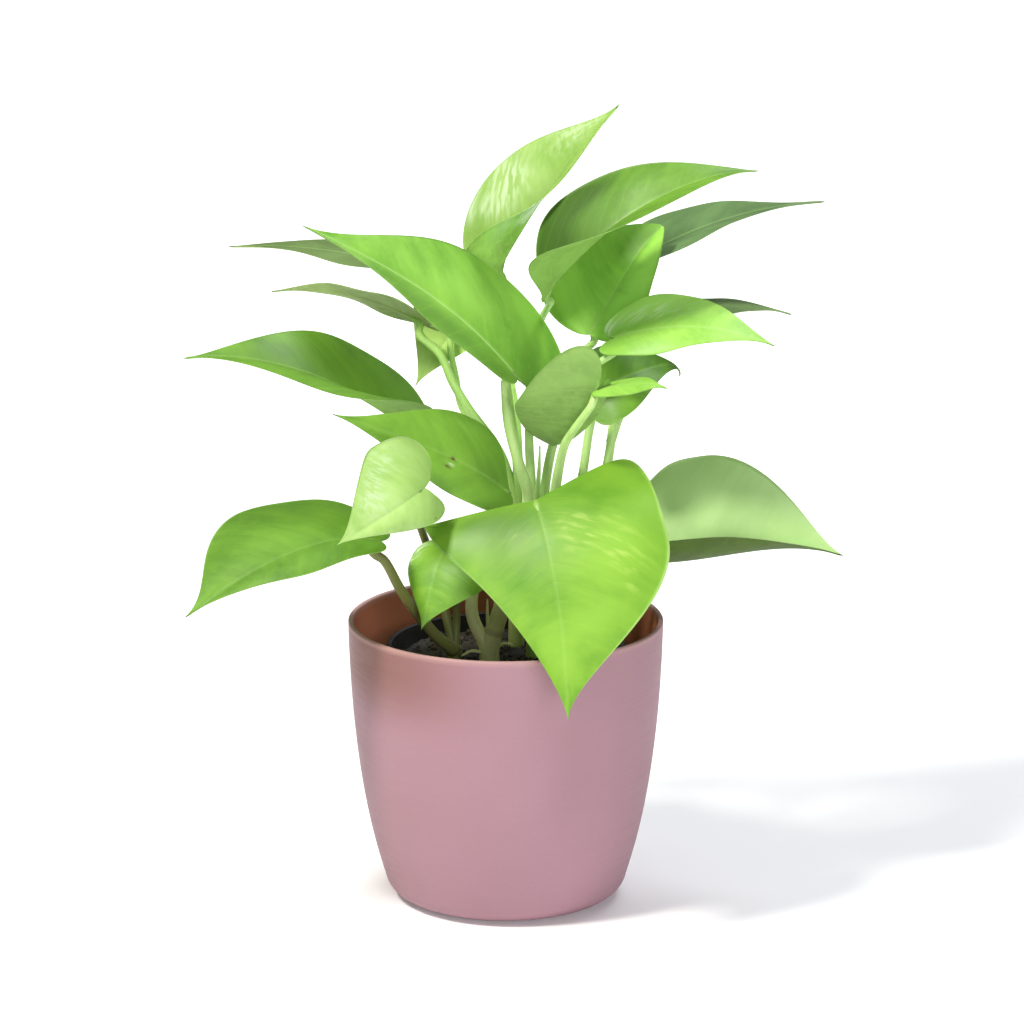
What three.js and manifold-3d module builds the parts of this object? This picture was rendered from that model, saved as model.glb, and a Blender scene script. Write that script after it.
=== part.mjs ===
// A potted golden pothos: a pink plastic outer pot, a black nursery pot inside it, potting soil,
// four rooted stems with their petioles, and one heart-shaped blade at the end of each petiole.
// Millimetres, +Z up. The origin is the centre of the outer pot's flat base.
// -Y is the front, the side the big drooping leaf hangs over.

import * as THREE from 'three';
import Module from 'manifold-3d';

const wasm = await Module();
wasm.setup();

// Driving dimensions of the outer pot.
const POT_RIM_RADIUS = 60.5;
const POT_HEIGHT = 110;
const POT_WALL = 1.9;
const POT_FLOOR = 3;
const POT_BASE_RADIUS = 33;
const POT_FACETS = 48;
const LIP_ROUNDING = 0.6;
const LIP_DROP = 0.25;

// The nursery pot stands on the outer pot's floor.
const NURSERY_RIM_RADIUS = 46;
const NURSERY_BASE_RADIUS = 32;
const NURSERY_TOP = 99.5;
const NURSERY_WALL = 1.2;
const NURSERY_LIP = 2.5;
const NURSERY_FACETS = 36;
const DRAIN_HOLES = 6;
const DRAIN_RADIUS = 4;
const DRAIN_CIRCLE = 21;

// Soil with a lumpy top, and the holes its stems stand in.
const SOIL_TOP = 93;
const SOIL_RINGS = 6;
const STEM_FOOT = 82;
const STEM_HOLE_DEPTH = 12;

// Neighbouring pieces keep this gap.
const GAP = 0.3;

// Blades and petioles.
const BLADE_THICKNESS = 0.7;
const BLADE_ROWS = 14;
const BLADE_COLUMNS = 3;
const CUP_FADE = 0.35;
const TUBE_SIDES = 8;
const TUBE_STEP = 9;
const PETIOLE_INSET = 1.5;
const KNEE_LENGTH = 4;
const KNEE_LIFT = 0.9;

const COLOURS = {
  pot: 0xc98f96,
  nursery: 0x1d1e1d,
  soil: 0x2b231b,
  stem: 0x9cbc6a,
  blade: 0x7cc242,
  youngBlade: 0xb7dd6a,
};

const UP = new THREE.Vector3(0, 0, 1);
const vector = (xyz) => new THREE.Vector3(...xyz);
const radians = THREE.MathUtils.degToRad;

// Each blade hangs on its midrib, which runs from base, where the petiole joins, to tip.
// half: the widths of its left and right halves, in mm, seen along the midrib from the base.
// rise, fall: the midrib's angles to the straight line from base to tip, at the base and the tip.
// bow: the same two angles, sideways to the left. roll: how far its left side is lifted.
// fold, curl: how far each half is lifted from the midrib, and bends on upwards to its margin.
// cup: what is added to fold at the base and fades out towards the tip.
// All angles are in degrees. wave is the ripple of the margin in mm.
// lobe, shoulder, widest, taper: how far each half reaches back beside the petiole, how straight
// it goes out from there, where it is widest, and how late it narrows, in blade lengths.
const BLADE_DEFAULTS = {
  lobe: [0.15, 0.15],
  shoulder: [0, 0],
  widest: [0.27, 0.27],
  taper: 0.8,
  rise: 0,
  fall: 0,
  bow: [0, 0],
  roll: 0,
  fold: [0, 0],
  curl: [0, 0],
  cup: [0, 0],
  wave: 1,
};
const BLADES = [
  {
    name: 'leaf_front', base: [11, -37, 166], tip: [23, -85, 95], half: [45, 43],
    lobe: [0.36, 0.1], shoulder: [0.75, 0.4], widest: [0.3, -0.12], rise: 25, fall: 5,
    bow: [13, 8], roll: 25, curl: [-25, -8],
  },
  {
    name: 'leaf_front_small', base: [-21, -3, 140.5], tip: [-32, -26, 112.5], half: [26, 14],
    rise: 40, fall: 5, curl: [-20, -20], wave: 0.5,
  },
  {
    name: 'leaf_young_front', base: [-30, -42, 172], tip: [-62, -68, 157], half: [13.5, 24],
    lobe: [0.24, 0.35], shoulder: [0.5, 0], widest: [0, 0.25], rise: 20, fall: 10, roll: -70,
    fold: [5, 5], curl: [-20, -20], young: true,
  },
  {
    name: 'leaf_left_low', base: [-48, -28, 148], tip: [-119, -60, 127], half: [13, 36],
    lobe: [0.05, 0.22], widest: [0.35, 0.5], rise: 35, fall: 20, roll: -20, fold: [5, 5],
    curl: [-20, -20],
  },
  {
    name: 'leaf_left_centre', base: [2, -7.5, 160.5], tip: [-65, -29.5, 197.5], half: [14, 22],
    lobe: [0.05, -0.08], rise: 25, fall: 10, roll: -55, fold: [5, 5], curl: [-20, -20],
  },
  {
    name: 'leaf_left', base: [-36, 19.5, 178.5], tip: [-122, 1.5, 211.5], half: [28, 28],
    lobe: [0.02, 0.15], rise: 25, fall: 35, roll: -35, fold: [35, 5], curl: [-15, -15],
    cup: [40, 0],
  },
  {
    name: 'leaf_upper_left', base: [4, -10, 207], tip: [-75, -35, 270], half: [15, 37.5],
    lobe: [0.02, 0.3], widest: [0.27, 0.16], taper: 0.75, rise: 10, fall: 6, bow: [-12, -8],
    roll: -45, fold: [18, 5], curl: [-15, -15],
  },
  {
    name: 'leaf_back_left', base: [-29, 30, 238], tip: [-107, 45, 246], half: [12, 20], rise: 10,
    fall: 10, roll: -3, fold: [5, 5], curl: [-15, -15],
  },
  {
    name: 'leaf_back_left_low', base: [-31, 18, 222], tip: [-90, 32, 231], half: [15, 9], rise: 15,
    fall: 20, roll: 31, fold: [5, 5], curl: [-15, -15],
  },
  {
    name: 'leaf_back_hanging', base: [-5, 42, 232], tip: [-35, 28, 194.5], half: [12, 23],
    lobe: [0.05, 0.05], rise: 20, fall: 20, roll: -50, fold: [5, 5], curl: [-15, -15],
  },
  {
    name: 'leaf_top', base: [-4, 28, 238.5], tip: [43, 22, 305.5], half: [29, 21],
    lobe: [0.1, 0.15], widest: [0.27, 0.27], rise: 5, bow: [5, 9], roll: 55, fold: [0, 40],
    curl: [-10, 10], cup: [0, 60], wave: 0.5, young: true,
  },
  {
    name: 'leaf_top_right', base: [13.5, -3, 234.5], tip: [95, 5, 283], half: [28, 24],
    lobe: [-0.06, -0.08], widest: [0.28, 0.24], rise: 36, fall: 42, roll: 35, fold: [5, 30],
    curl: [-10, 0], cup: [0, 60],
  },
  {
    name: 'leaf_right_upper', base: [32, 24.5, 216], tip: [60, 34.5, 256], half: [34, 25],
    lobe: [0.1, 0.02], taper: 1.05, fall: 20, roll: 30, fold: [5, 20], curl: [-10, 0],
  },
  {
    name: 'leaf_right_back', base: [46, 46, 238], tip: [124, 61, 260.5], half: [25, 20],
    lobe: [0.05, 0.15], widest: [0.3, 0.27], taper: 0.62, rise: 15, fall: 15, roll: 10,
    fold: [5, 15], curl: [-10, 0],
  },
  {
    name: 'leaf_right', base: [41, -9, 222], tip: [101, -20, 221], half: [23, 12], rise: 25,
    fall: 30, roll: 30, curl: [-15, -15],
  },
  {
    name: 'leaf_right_far', base: [56, 35, 224], tip: [111, 50, 218], half: [20, 20], rise: 10,
    fall: 15, curl: [-10, -10],
  },
  {
    name: 'leaf_centre_back', base: [34, -2, 198], tip: [67, 30, 198], half: [16, 15],
    lobe: [0.02, 0.15], widest: [0.2, 0.05], taper: 0.45, rise: 55, fall: 65, roll: 40,
    fold: [10, 10], curl: [-15, -15],
  },
  {
    name: 'leaf_centre', base: [34, -30, 206.5], tip: [18, 3, 177.5], half: [24, 6],
    lobe: [0.5, 0.2], widest: [0.45, 0.27], taper: 1.12, rise: -25, fall: -25, roll: 30,
    fold: [0, 20], curl: [10, 0], wave: 0.5,
  },
  {
    name: 'leaf_right_low', base: [47, 0, 133], tip: [129, -5, 136], half: [45, 30],
    widest: [0.4, 0.27], rise: 5, fall: 15, bow: [-12, 15], roll: 52, fold: [0, 70],
    curl: [-10, 25],
  },
];

// The right lobe of leaf_centre is turned over, like a small blade of its own. It is fused to it.
const CENTRE_LOBE = {
  name: 'lobe', base: [35, -30.5, 207], tip: [60, -40, 209.5], half: [9, 9], widest: [0.45, 0.45],
  rise: 10, fall: 20, roll: 10, curl: [-10, -10], wave: 0,
};

// Half of the flat outline, from the notch round the lobe to the tip. x runs along the midrib in
// blade lengths, y outwards in half widths. The two curves meet where the blade is widest.
function halfOutline(blade, half) {
  const reach = blade.lobe[half];
  const shoulder = blade.shoulder[half];
  const widest = blade.widest[half];
  const lobe = new THREE.CubicBezierCurve(
    new THREE.Vector2(0, 0),
    new THREE.Vector2(-reach * (1 - shoulder), 0.1 + shoulder),
    new THREE.Vector2(-reach, 1),
    new THREE.Vector2(widest, 1),
  );
  const point = new THREE.CubicBezierCurve(
    new THREE.Vector2(widest, 1),
    new THREE.Vector2(widest + 0.3, 1),
    new THREE.Vector2(blade.taper, 0.06),
    new THREE.Vector2(1, 0),
  );
  return (u) => (u < 0.5 ? lobe.getPoint(2 * u) : point.getPoint(2 * u - 1));
}

const midribShare = (u) => u ** 1.6;

// The axes of a blade: along its chord, to its left and up from its face, with its roll.
function bladeAxes(blade) {
  const base = vector(blade.base);
  const tip = vector(blade.tip);
  const along = tip.clone().sub(base).normalize();
  const left = UP.clone().cross(along).normalize().applyAxisAngle(along, radians(blade.roll));
  return { base, tip, along, left, up: along.clone().cross(left) };
}

// The midrib as a curve, with handles set by rise, fall and bow.
function midribCurve(blade, axes) {
  const { base, tip, along, left, up } = axes;
  const handle = base.distanceTo(tip) * 0.36;
  const direction = (lift, turn) =>
    along.clone()
      .addScaledVector(up, Math.tan(radians(lift)))
      .addScaledVector(left, Math.tan(radians(turn)))
      .normalize();
  return new THREE.CubicBezierCurve3(
    base,
    base.clone().addScaledVector(direction(blade.rise, blade.bow[0]), handle),
    tip.clone().addScaledVector(direction(-blade.fall, -blade.bow[1]), -handle),
    tip,
  );
}

// Where the midrib is at a share of its length, with its left side and normal.
// Behind the base, where only the lobes reach, it runs straight on.
function midribFrame(blade, axes, curve, length, share) {
  const at = Math.max(share, 0);
  const tangent = curve.getTangent(at);
  const point = curve.getPoint(at).addScaledVector(tangent, Math.min(share, 0) * length);
  const left = axes.left.clone();
  left.addScaledVector(tangent, -left.dot(tangent)).normalize();
  return { point, left, normal: tangent.clone().cross(left) };
}

// A point of the blade's middle surface: u runs along the half outline, v from midrib to margin,
// and side is 1 on the left half and -1 on the right.
function bladePoint(blade, shape, u, v, side) {
  const { axes, curve, length, outlines } = shape;
  const half = side > 0 ? 0 : 1;
  const outline = outlines[half](u);
  const share = THREE.MathUtils.lerp(midribShare(u), outline.x, v);
  const reach = outline.y * v;
  const fade = Math.exp(-((Math.max(share, 0) / CUP_FADE) ** 2));
  const fold = radians(blade.fold[half] + blade.cup[half] * fade);
  const curl = radians(blade.curl[half] || 0.01);
  const radius = blade.half[half] / curl;
  const out = radius * (Math.sin(fold + curl * reach) - Math.sin(fold));
  const ripple = blade.wave * reach ** 2 * Math.sin(2 * Math.PI * (1.7 * share + 0.3 * half));
  const rise = radius * (Math.cos(fold) - Math.cos(fold + curl * reach)) + ripple;
  const frame = midribFrame(blade, axes, curve, length, share);
  return frame.point.addScaledVector(frame.left, side * out).addScaledVector(frame.normal, rise);
}

// The blade as a closed thin solid: a grid of rows and columns with both faces split alike.
function bladeGeometry(values) {
  const blade = { ...BLADE_DEFAULTS, ...values };
  const axes = bladeAxes(blade);
  const curve = midribCurve(blade, axes);
  const length = curve.getLength();
  const outlines = [0, 1].map((half) => halfOutline(blade, half));
  const shape = { axes, curve, length, outlines };
  const columns = 2 * BLADE_COLUMNS;
  const middle = [];
  const last = BLADE_ROWS;
  const index = (row, column) => {
    if (row === 0) return 0;
    if (row === last) return 1 + (last - 1) * (columns + 1);
    return 1 + (row - 1) * (columns + 1) + column;
  };
  for (let row = 0; row <= last; row++) {
    for (let column = 0; column <= columns; column++) {
      if ((row === 0 || row === last) && column > 0) continue;
      const offset = row === 0 || row === last ? 0 : column - BLADE_COLUMNS;
      const side = offset < 0 ? 1 : -1;
      const v = Math.abs(offset) / BLADE_COLUMNS;
      middle.push(bladePoint(blade, shape, row / last, v, side));
    }
  }
  const faces = [];
  const edges = [];
  for (let row = 0; row < last; row++) {
    for (let column = 0; column < columns; column++) {
      const a = index(row, column);
      const b = index(row, column + 1);
      const c = index(row + 1, column + 1);
      const d = index(row + 1, column);
      const leftHalf = column < BLADE_COLUMNS;
      const pair = leftHalf ? [[a, b, c], [a, c, d]] : [[a, b, d], [b, c, d]];
      faces.push(...pair.filter(([p, q, r]) => p !== q && q !== r && r !== p));
    }
    edges.push([index(row + 1, 0), index(row, 0)]);
    edges.push([index(row, columns), index(row + 1, columns)]);
  }
  return thickened(middle, faces, edges, BLADE_THICKNESS);
}

// A closed solid of even thickness round a middle surface. faces turn anticlockwise from above.
function thickened(middle, faces, edges, thickness) {
  const normals = middle.map(() => new THREE.Vector3());
  for (const [a, b, c] of faces) {
    const across = middle[b].clone().sub(middle[a]).cross(middle[c].clone().sub(middle[a]));
    [a, b, c].forEach((corner) => normals[corner].add(across));
  }
  const positions = [];
  for (const side of [0.5, -0.5]) {
    middle.forEach((point, i) => {
      positions.push(...point.clone().addScaledVector(normals[i].clone().normalize(), side * thickness));
    });
  }
  const under = middle.length;
  const triangles = [];
  for (const [a, b, c] of faces) {
    triangles.push(a, b, c, under + a, under + c, under + b);
  }
  for (const [a, b] of edges) {
    triangles.push(b, a, under + a, b, under + a, under + b);
  }
  const geometry = new THREE.BufferGeometry();
  geometry.setAttribute('position', new THREE.Float32BufferAttribute(positions, 3));
  geometry.setIndex(triangles);
  return geometry;
}

// Closed bodies for unions and cuts.
function manifoldOf(geometry) {
  return new wasm.Manifold(new wasm.Mesh({
    numProp: 3,
    vertProperties: new Float32Array(geometry.attributes.position.array),
    triVerts: new Uint32Array(geometry.index.array),
  }));
}

function geometryOf(manifold) {
  const mesh = manifold.getMesh();
  const geometry = new THREE.BufferGeometry();
  geometry.setAttribute('position', new THREE.Float32BufferAttribute(mesh.vertProperties, 3));
  geometry.setIndex(Array.from(mesh.triVerts));
  return geometry;
}

const union = (geometries) => geometryOf(geometries.map(manifoldOf).reduce((a, b) => a.add(b)));

// A closed tapering tube along a smooth line through points, thick at the first and thin at the last.
function tubeGeometry(points, startRadius, endRadius) {
  const curve = new THREE.CatmullRomCurve3(points, false, 'centripetal');
  const rings = Math.max(2, Math.round(curve.getLength() / TUBE_STEP));
  const frames = curve.computeFrenetFrames(rings, false);
  const positions = [];
  for (let ring = 0; ring <= rings; ring++) {
    const centre = curve.getPointAt(ring / rings);
    const radius = THREE.MathUtils.lerp(startRadius, endRadius, ring / rings);
    for (let side = 0; side < TUBE_SIDES; side++) {
      const angle = (2 * Math.PI * side) / TUBE_SIDES;
      const point = centre.clone()
        .addScaledVector(frames.normals[ring], radius * Math.cos(angle))
        .addScaledVector(frames.binormals[ring], radius * Math.sin(angle));
      positions.push(...point.toArray());
    }
  }
  positions.push(...points[0].toArray(), ...points[points.length - 1].toArray());
  const first = (rings + 1) * TUBE_SIDES;
  const triangles = [];
  for (let side = 0; side < TUBE_SIDES; side++) {
    const next = (side + 1) % TUBE_SIDES;
    for (let ring = 0; ring < rings; ring++) {
      const a = ring * TUBE_SIDES + side;
      const b = ring * TUBE_SIDES + next;
      triangles.push(a, b, b + TUBE_SIDES, a, b + TUBE_SIDES, a + TUBE_SIDES);
    }
    triangles.push(first, next, side);
    triangles.push(first + 1, rings * TUBE_SIDES + side, rings * TUBE_SIDES + next);
  }
  const geometry = new THREE.BufferGeometry();
  geometry.setAttribute('position', new THREE.Float32BufferAttribute(positions, 3));
  geometry.setIndex(triangles);
  return geometry;
}

// The last two points of a petiole's line: it bends up towards the underside of its blade, beside
// the notch, and stops with the gap left under it.
function petioleEnd(values, from, radius) {
  const blade = { ...BLADE_DEFAULTS, ...values };
  const axes = bladeAxes(blade);
  const curve = midribCurve(blade, axes);
  const length = curve.getLength();
  const { point, normal } = midribFrame(blade, axes, curve, length, PETIOLE_INSET / length);
  const arrival = point.clone().sub(from).normalize().addScaledVector(normal, KNEE_LIFT).normalize();
  const tilt = Math.sqrt(1 - arrival.dot(normal) ** 2);
  const end = point.clone().addScaledVector(normal, -(BLADE_THICKNESS / 2 + GAP + radius * tilt));
  return [end.clone().addScaledVector(arrival, -KNEE_LENGTH), end];
}

const bladeNamed = (name) => BLADES.find((blade) => blade.name === name);

// Each rooted stem: its trunk line from the foot up, with radii, then its petioles. A petiole's line
// starts inside the trunk or another petiole and ends at its blade. Sprouts end in a point.
const STEMS = [
  {
    name: 'stem_left',
    trunk: [[-20, 3, STEM_FOOT], [-20, 3, 98]],
    radii: [3.2, 2.8],
    petioles: [
      {
        to: 'leaf_left_low', radii: [2.3, 1.7],
        line: [[-20, 2, 96.5], [-26, -4, 103], [-33, -12, 114], [-40, -20, 127], [-46, -26, 140]],
      },
      {
        to: 'leaf_young_front', radii: [1.7, 1.2],
        line: [
          [-20, 4, 97], [-24, 8, 112], [-29, 9, 132], [-34, 2, 150], [-33, -16, 160],
          [-29, -33, 165],
        ],
      },
      {
        to: 'leaf_front_small', radii: [1.6, 1.2],
        line: [[-19.5, 4, 97], [-19, 6, 110], [-19.5, 4, 127]],
      },
    ],
    sprouts: [],
  },
  {
    name: 'stem_centre',
    trunk: [[-6, -1, STEM_FOOT], [-6, -1, 99], [-2, -2, 113], [3, -2, 133]],
    radii: [4.2, 2.7],
    petioles: [
      {
        to: 'leaf_left_centre', radii: [2.7, 1.6],
        line: [[-6.5, -1, 97], [-13, 0, 112], [-9, 0, 134], [0, -5, 150]],
      },
      {
        to: 'leaf_front', radii: [2.3, 1.6],
        line: [[2, -2, 128], [5, -10, 139], [9, -26, 151]],
      },
      {
        to: 'leaf_upper_left', radii: [2.6, 1.6],
        line: [[3, -2, 131], [7, -4, 148], [8.5, -6, 160], [5, -9, 173], [1, -9, 189], [0, -6, 200]],
      },
    ],
    sprouts: [
      { radii: [1.3, 0.3], line: [[-6, -2, 101], [-7, -3.5, 112], [-7, -4, 118.5]] },
      { radii: [0.8, 0.5], line: [[-5, -1, 96], [-1, -1.5, 100], [3, -1, 99]] },
      { radii: [0.8, 0.5], line: [[-7, -2, 96], [-13, -3, 97.5], [-17, -3, 95.5]] },
    ],
  },
  {
    name: 'stem_back',
    trunk: [[4, 21, STEM_FOOT], [4, 21, 98], [4, 16, 125], [5, 12, 150]],
    radii: [3.2, 2.4],
    petioles: [
      {
        to: 'leaf_left', radii: [1.8, 1.3],
        line: [[5, 12, 147], [-2, 14, 165], [-16, 17, 171], [-28, 23, 173]],
      },
      {
        to: 'leaf_back_left_low', radii: [2.1, 1.5],
        line: [[5, 12, 148], [-2, 13, 171], [-14, 13, 189], [-20, 14, 199], [-25, 15, 210]],
      },
      {
        to: 'leaf_back_left', radii: [1.5, 1.1],
        line: [
          [5, 12, 146], [-4, 20, 169], [-17, 22, 188], [-19, 22, 199], [-21, 23.5, 209],
          [-22, 27, 219], [-25, 30, 230],
        ],
      },
      {
        to: 'leaf_back_hanging', radii: [1.5, 1.2],
        line: [[5, 13, 146], [5, 22, 170], [3, 32, 190], [-2, 40, 210], [-4, 43, 223]],
      },
      {
        to: 'leaf_top', radii: [1.9, 1.3],
        line: [[5, 12, 149], [4, 13, 172], [2, 14, 186], [0, 18, 201], [-2, 23, 216], [-4, 27, 229]],
      },
    ],
    sprouts: [],
  },
  {
    name: 'stem_right',
    trunk: [[11, 6, STEM_FOOT], [11, 6, 98], [12.5, 4.5, 112], [14, 3, 126]],
    radii: [3.4, 2.7],
    petioles: [
      {
        to: 'leaf_top_right', radii: [2, 1.2],
        line: [
          [13, 3, 120], [11, 0, 145], [10, 2, 160], [9, 12, 177], [9, 20, 194], [10, 24, 207],
          [13, 25, 220], [16, 17, 228],
        ],
      },
      {
        to: 'leaf_right_upper', radii: [2, 1.4],
        line: [
          [14, 3, 122], [15, 4, 145], [15, 4, 159], [18, 8, 176], [21, 13, 183], [27, 20, 199],
          [30, 23.5, 209],
        ],
      },
      {
        to: 'leaf_right', radii: [1.6, 1.3],
        line: [[20, 11, 180], [24, 7, 191], [27, -3, 201], [33, -10, 211]],
      },
      {
        to: 'leaf_centre', radii: [2.4, 1.3],
        line: [
          [14, 2, 120], [16, -4, 134], [19, -10, 164], [22, -18, 182], [25, -24, 189],
          [30, -31, 198],
        ],
      },
      {
        to: 'leaf_centre_back', radii: [2, 1.6],
        line: [[14, 4, 117], [22, 4, 132], [29, 4, 164], [32, 4, 184], [34, 2, 192]],
      },
      {
        to: 'leaf_right_back', radii: [2, 1.3],
        line: [
          [14, 5, 115], [29, 8, 131], [39, 8, 169], [41, 10, 184], [43, 20, 196], [45, 36, 212],
          [46, 43, 227],
        ],
      },
      {
        to: 'leaf_right_far', radii: [1.5, 1.3],
        line: [[40, 9, 177], [46, 18, 191], [52, 28, 205], [55, 33, 216]],
      },
      {
        to: 'leaf_right_low', radii: [2.2, 1.6],
        line: [[12, 6, 100], [29, 8, 115], [43, 4, 127]],
      },
    ],
    sprouts: [
      { radii: [1.5, 0.3], line: [[11, 0, 150], [12.5, -0.5, 165], [13, -1, 178]] },
    ],
  },
];

function stemGeometry(stem) {
  const parts = [tubeGeometry(stem.trunk.map(vector), ...stem.radii)];
  for (const petiole of stem.petioles) {
    const line = petiole.line.map(vector);
    line.push(...petioleEnd(bladeNamed(petiole.to), line[line.length - 1], petiole.radii[1]));
    parts.push(tubeGeometry(line, ...petiole.radii));
  }
  for (const sprout of stem.sprouts) {
    parts.push(tubeGeometry(sprout.line.map(vector), ...sprout.radii));
  }
  return union(parts);
}

// A closed body of revolution about +Z from [radius, height] pairs, counter-clockwise in section.
function turned(profile, facets) {
  const points = profile.map(([radius, height]) => new THREE.Vector2(radius, height));
  const rings = [];
  const positions = [];
  for (const point of points) {
    const onAxis = point.x === 0;
    rings.push({ start: positions.length / 3, onAxis });
    for (let facet = 0; facet < (onAxis ? 1 : facets); facet++) {
      const angle = (2 * Math.PI * facet) / facets;
      positions.push(point.x * Math.cos(angle), point.x * Math.sin(angle), point.y);
    }
  }
  const triangles = [];
  const at = (ring, facet) => ring.start + (ring.onAxis ? 0 : facet % facets);
  for (let i = 0; i < points.length - 1; i++) {
    for (let facet = 0; facet < facets; facet++) {
      const a = at(rings[i], facet);
      const b = at(rings[i], facet + 1);
      const c = at(rings[i + 1], facet + 1);
      const d = at(rings[i + 1], facet);
      if (!rings[i].onAxis) triangles.push(a, b, c);
      if (!rings[i + 1].onAxis) triangles.push(a, c, d);
    }
  }
  const geometry = new THREE.BufferGeometry();
  geometry.setAttribute('position', new THREE.Float32BufferAttribute(positions, 3));
  geometry.setIndex(triangles);
  return geometry;
}

// The outer pot's wall line: the rounded base corner and a cubic curve up to the rim.
const CORNER_TOP = new THREE.Vector2(47, 9);
const CORNER_CURVE = new THREE.QuadraticBezierCurve(
  new THREE.Vector2(POT_BASE_RADIUS, 0),
  new THREE.Vector2(45.6, 0.3),
  CORNER_TOP,
);
const WALL_CURVE = new THREE.CubicBezierCurve(
  CORNER_TOP,
  new THREE.Vector2(52.8, 27),
  new THREE.Vector2(59.6, 58),
  new THREE.Vector2(POT_RIM_RADIUS, POT_HEIGHT),
);

function potGeometry() {
  const corner = CORNER_CURVE.getPoints(4).map((p) => [p.x, p.y]);
  const wall = WALL_CURVE.getPoints(6).map((p) => [p.x, p.y]);
  const lip = POT_RIM_RADIUS - POT_WALL / 2;
  const outside = [...corner, ...wall.slice(1, -1), [POT_RIM_RADIUS, POT_HEIGHT - POT_WALL / 2]];
  const inside = wall.slice(1, -1).reverse().map(([radius, height]) => [radius - POT_WALL, height]);
  return turned([
    [0, 0],
    ...outside,
    [lip + LIP_ROUNDING, POT_HEIGHT - LIP_DROP],
    [lip, POT_HEIGHT],
    [lip - LIP_ROUNDING, POT_HEIGHT - LIP_DROP],
    [POT_RIM_RADIUS - POT_WALL, POT_HEIGHT - POT_WALL / 2],
    ...inside,
    [CORNER_TOP.x - POT_WALL, CORNER_TOP.y],
    [CORNER_TOP.x - 5, 4.6],
    [POT_BASE_RADIUS + 3, POT_FLOOR],
    [0, POT_FLOOR],
  ], POT_FACETS);
}

// The nursery pot's outer radius at a height, from its base to the underside of its lip.
const NURSERY_FOOT = POT_FLOOR + GAP;
const nurseryRadius = (height) => THREE.MathUtils.mapLinear(
  height,
  NURSERY_FOOT,
  NURSERY_TOP,
  NURSERY_BASE_RADIUS,
  NURSERY_RIM_RADIUS - 1,
);

function nurseryGeometry() {
  const lipBottom = NURSERY_TOP - NURSERY_LIP;
  const floor = NURSERY_FOOT + NURSERY_WALL;
  const body = manifoldOf(turned([
    [0, NURSERY_FOOT],
    [NURSERY_BASE_RADIUS, NURSERY_FOOT],
    [nurseryRadius(lipBottom), lipBottom],
    [NURSERY_RIM_RADIUS, lipBottom],
    [NURSERY_RIM_RADIUS, NURSERY_TOP],
    [nurseryRadius(NURSERY_TOP) - NURSERY_WALL, NURSERY_TOP],
    [nurseryRadius(floor) - NURSERY_WALL, floor],
    [0, floor],
  ], NURSERY_FACETS));
  const hole = wasm.Manifold.cylinder(3 * NURSERY_WALL, DRAIN_RADIUS, DRAIN_RADIUS, 16);
  let drained = body;
  for (let i = 0; i < DRAIN_HOLES; i++) {
    const angle = (2 * Math.PI * i) / DRAIN_HOLES;
    const place = [DRAIN_CIRCLE * Math.cos(angle), DRAIN_CIRCLE * Math.sin(angle), NURSERY_FOOT - NURSERY_WALL];
    drained = drained.subtract(hole.translate(place));
  }
  return geometryOf(drained);
}

// The height of the soil's lumpy top.
const soilHeight = (x, y) =>
  SOIL_TOP + 0.6 * Math.sin(0.31 * x + 1) * Math.cos(0.27 * y) + 0.45 * Math.sin(0.19 * x - 0.37 * y);

function soilGeometry() {
  const bottom = NURSERY_FOOT + NURSERY_WALL + GAP;
  const inset = NURSERY_WALL + 1.5 * GAP;
  const topRadius = nurseryRadius(SOIL_TOP) - inset;
  const profile = [[0, bottom], [nurseryRadius(bottom) - inset, bottom]];
  for (let ring = SOIL_RINGS; ring >= 0; ring--) {
    profile.push([(topRadius * ring) / SOIL_RINGS, SOIL_TOP]);
  }
  const geometry = turned(profile, NURSERY_FACETS);
  const position = geometry.attributes.position;
  for (let i = 0; i < position.count; i++) {
    if (position.getZ(i) === SOIL_TOP) {
      position.setZ(i, soilHeight(position.getX(i), position.getY(i)));
    }
  }
  let soil = manifoldOf(geometry);
  for (const stem of STEMS) {
    const [x, y] = stem.trunk[0];
    const radius = stem.radii[0] + 2 * GAP;
    const hole = wasm.Manifold.cylinder(STEM_HOLE_DEPTH + 5, radius, radius, 16);
    soil = soil.subtract(hole.translate([x, y, STEM_FOOT - GAP]));
  }
  return geometryOf(soil);
}

const group = new THREE.Group();

function addMesh(name, geometry, colour, roughness) {
  const material = new THREE.MeshStandardMaterial({ color: colour, roughness, metalness: 0 });
  const mesh = new THREE.Mesh(geometry, material);
  mesh.name = name;
  group.add(mesh);
}

addMesh('pot', potGeometry(), COLOURS.pot, 0.55);
addMesh('nursery_pot', nurseryGeometry(), COLOURS.nursery, 0.6);
addMesh('potting_soil', soilGeometry(), COLOURS.soil, 1);
for (const stem of STEMS) {
  addMesh(stem.name, stemGeometry(stem), COLOURS.stem, 0.5);
}
for (const blade of BLADES) {
  const colour = blade.young ? COLOURS.youngBlade : COLOURS.blade;
  const parts = [bladeGeometry(blade)];
  if (blade.name === 'leaf_centre') parts.push(bladeGeometry(CENTRE_LOBE));
  addMesh(blade.name, parts.length > 1 ? union(parts) : parts[0], colour, 0.4);
}

export default group;
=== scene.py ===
"""A potted golden pothos, dressed round its CAD part.

Sizes are in millimetres, as in the part, and become metres when a mesh is made.
-Y is the front, the side the big drooping leaf hangs over.
"""

import bmesh
import bpy
import numpy as np
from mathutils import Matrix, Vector, noise


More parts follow.
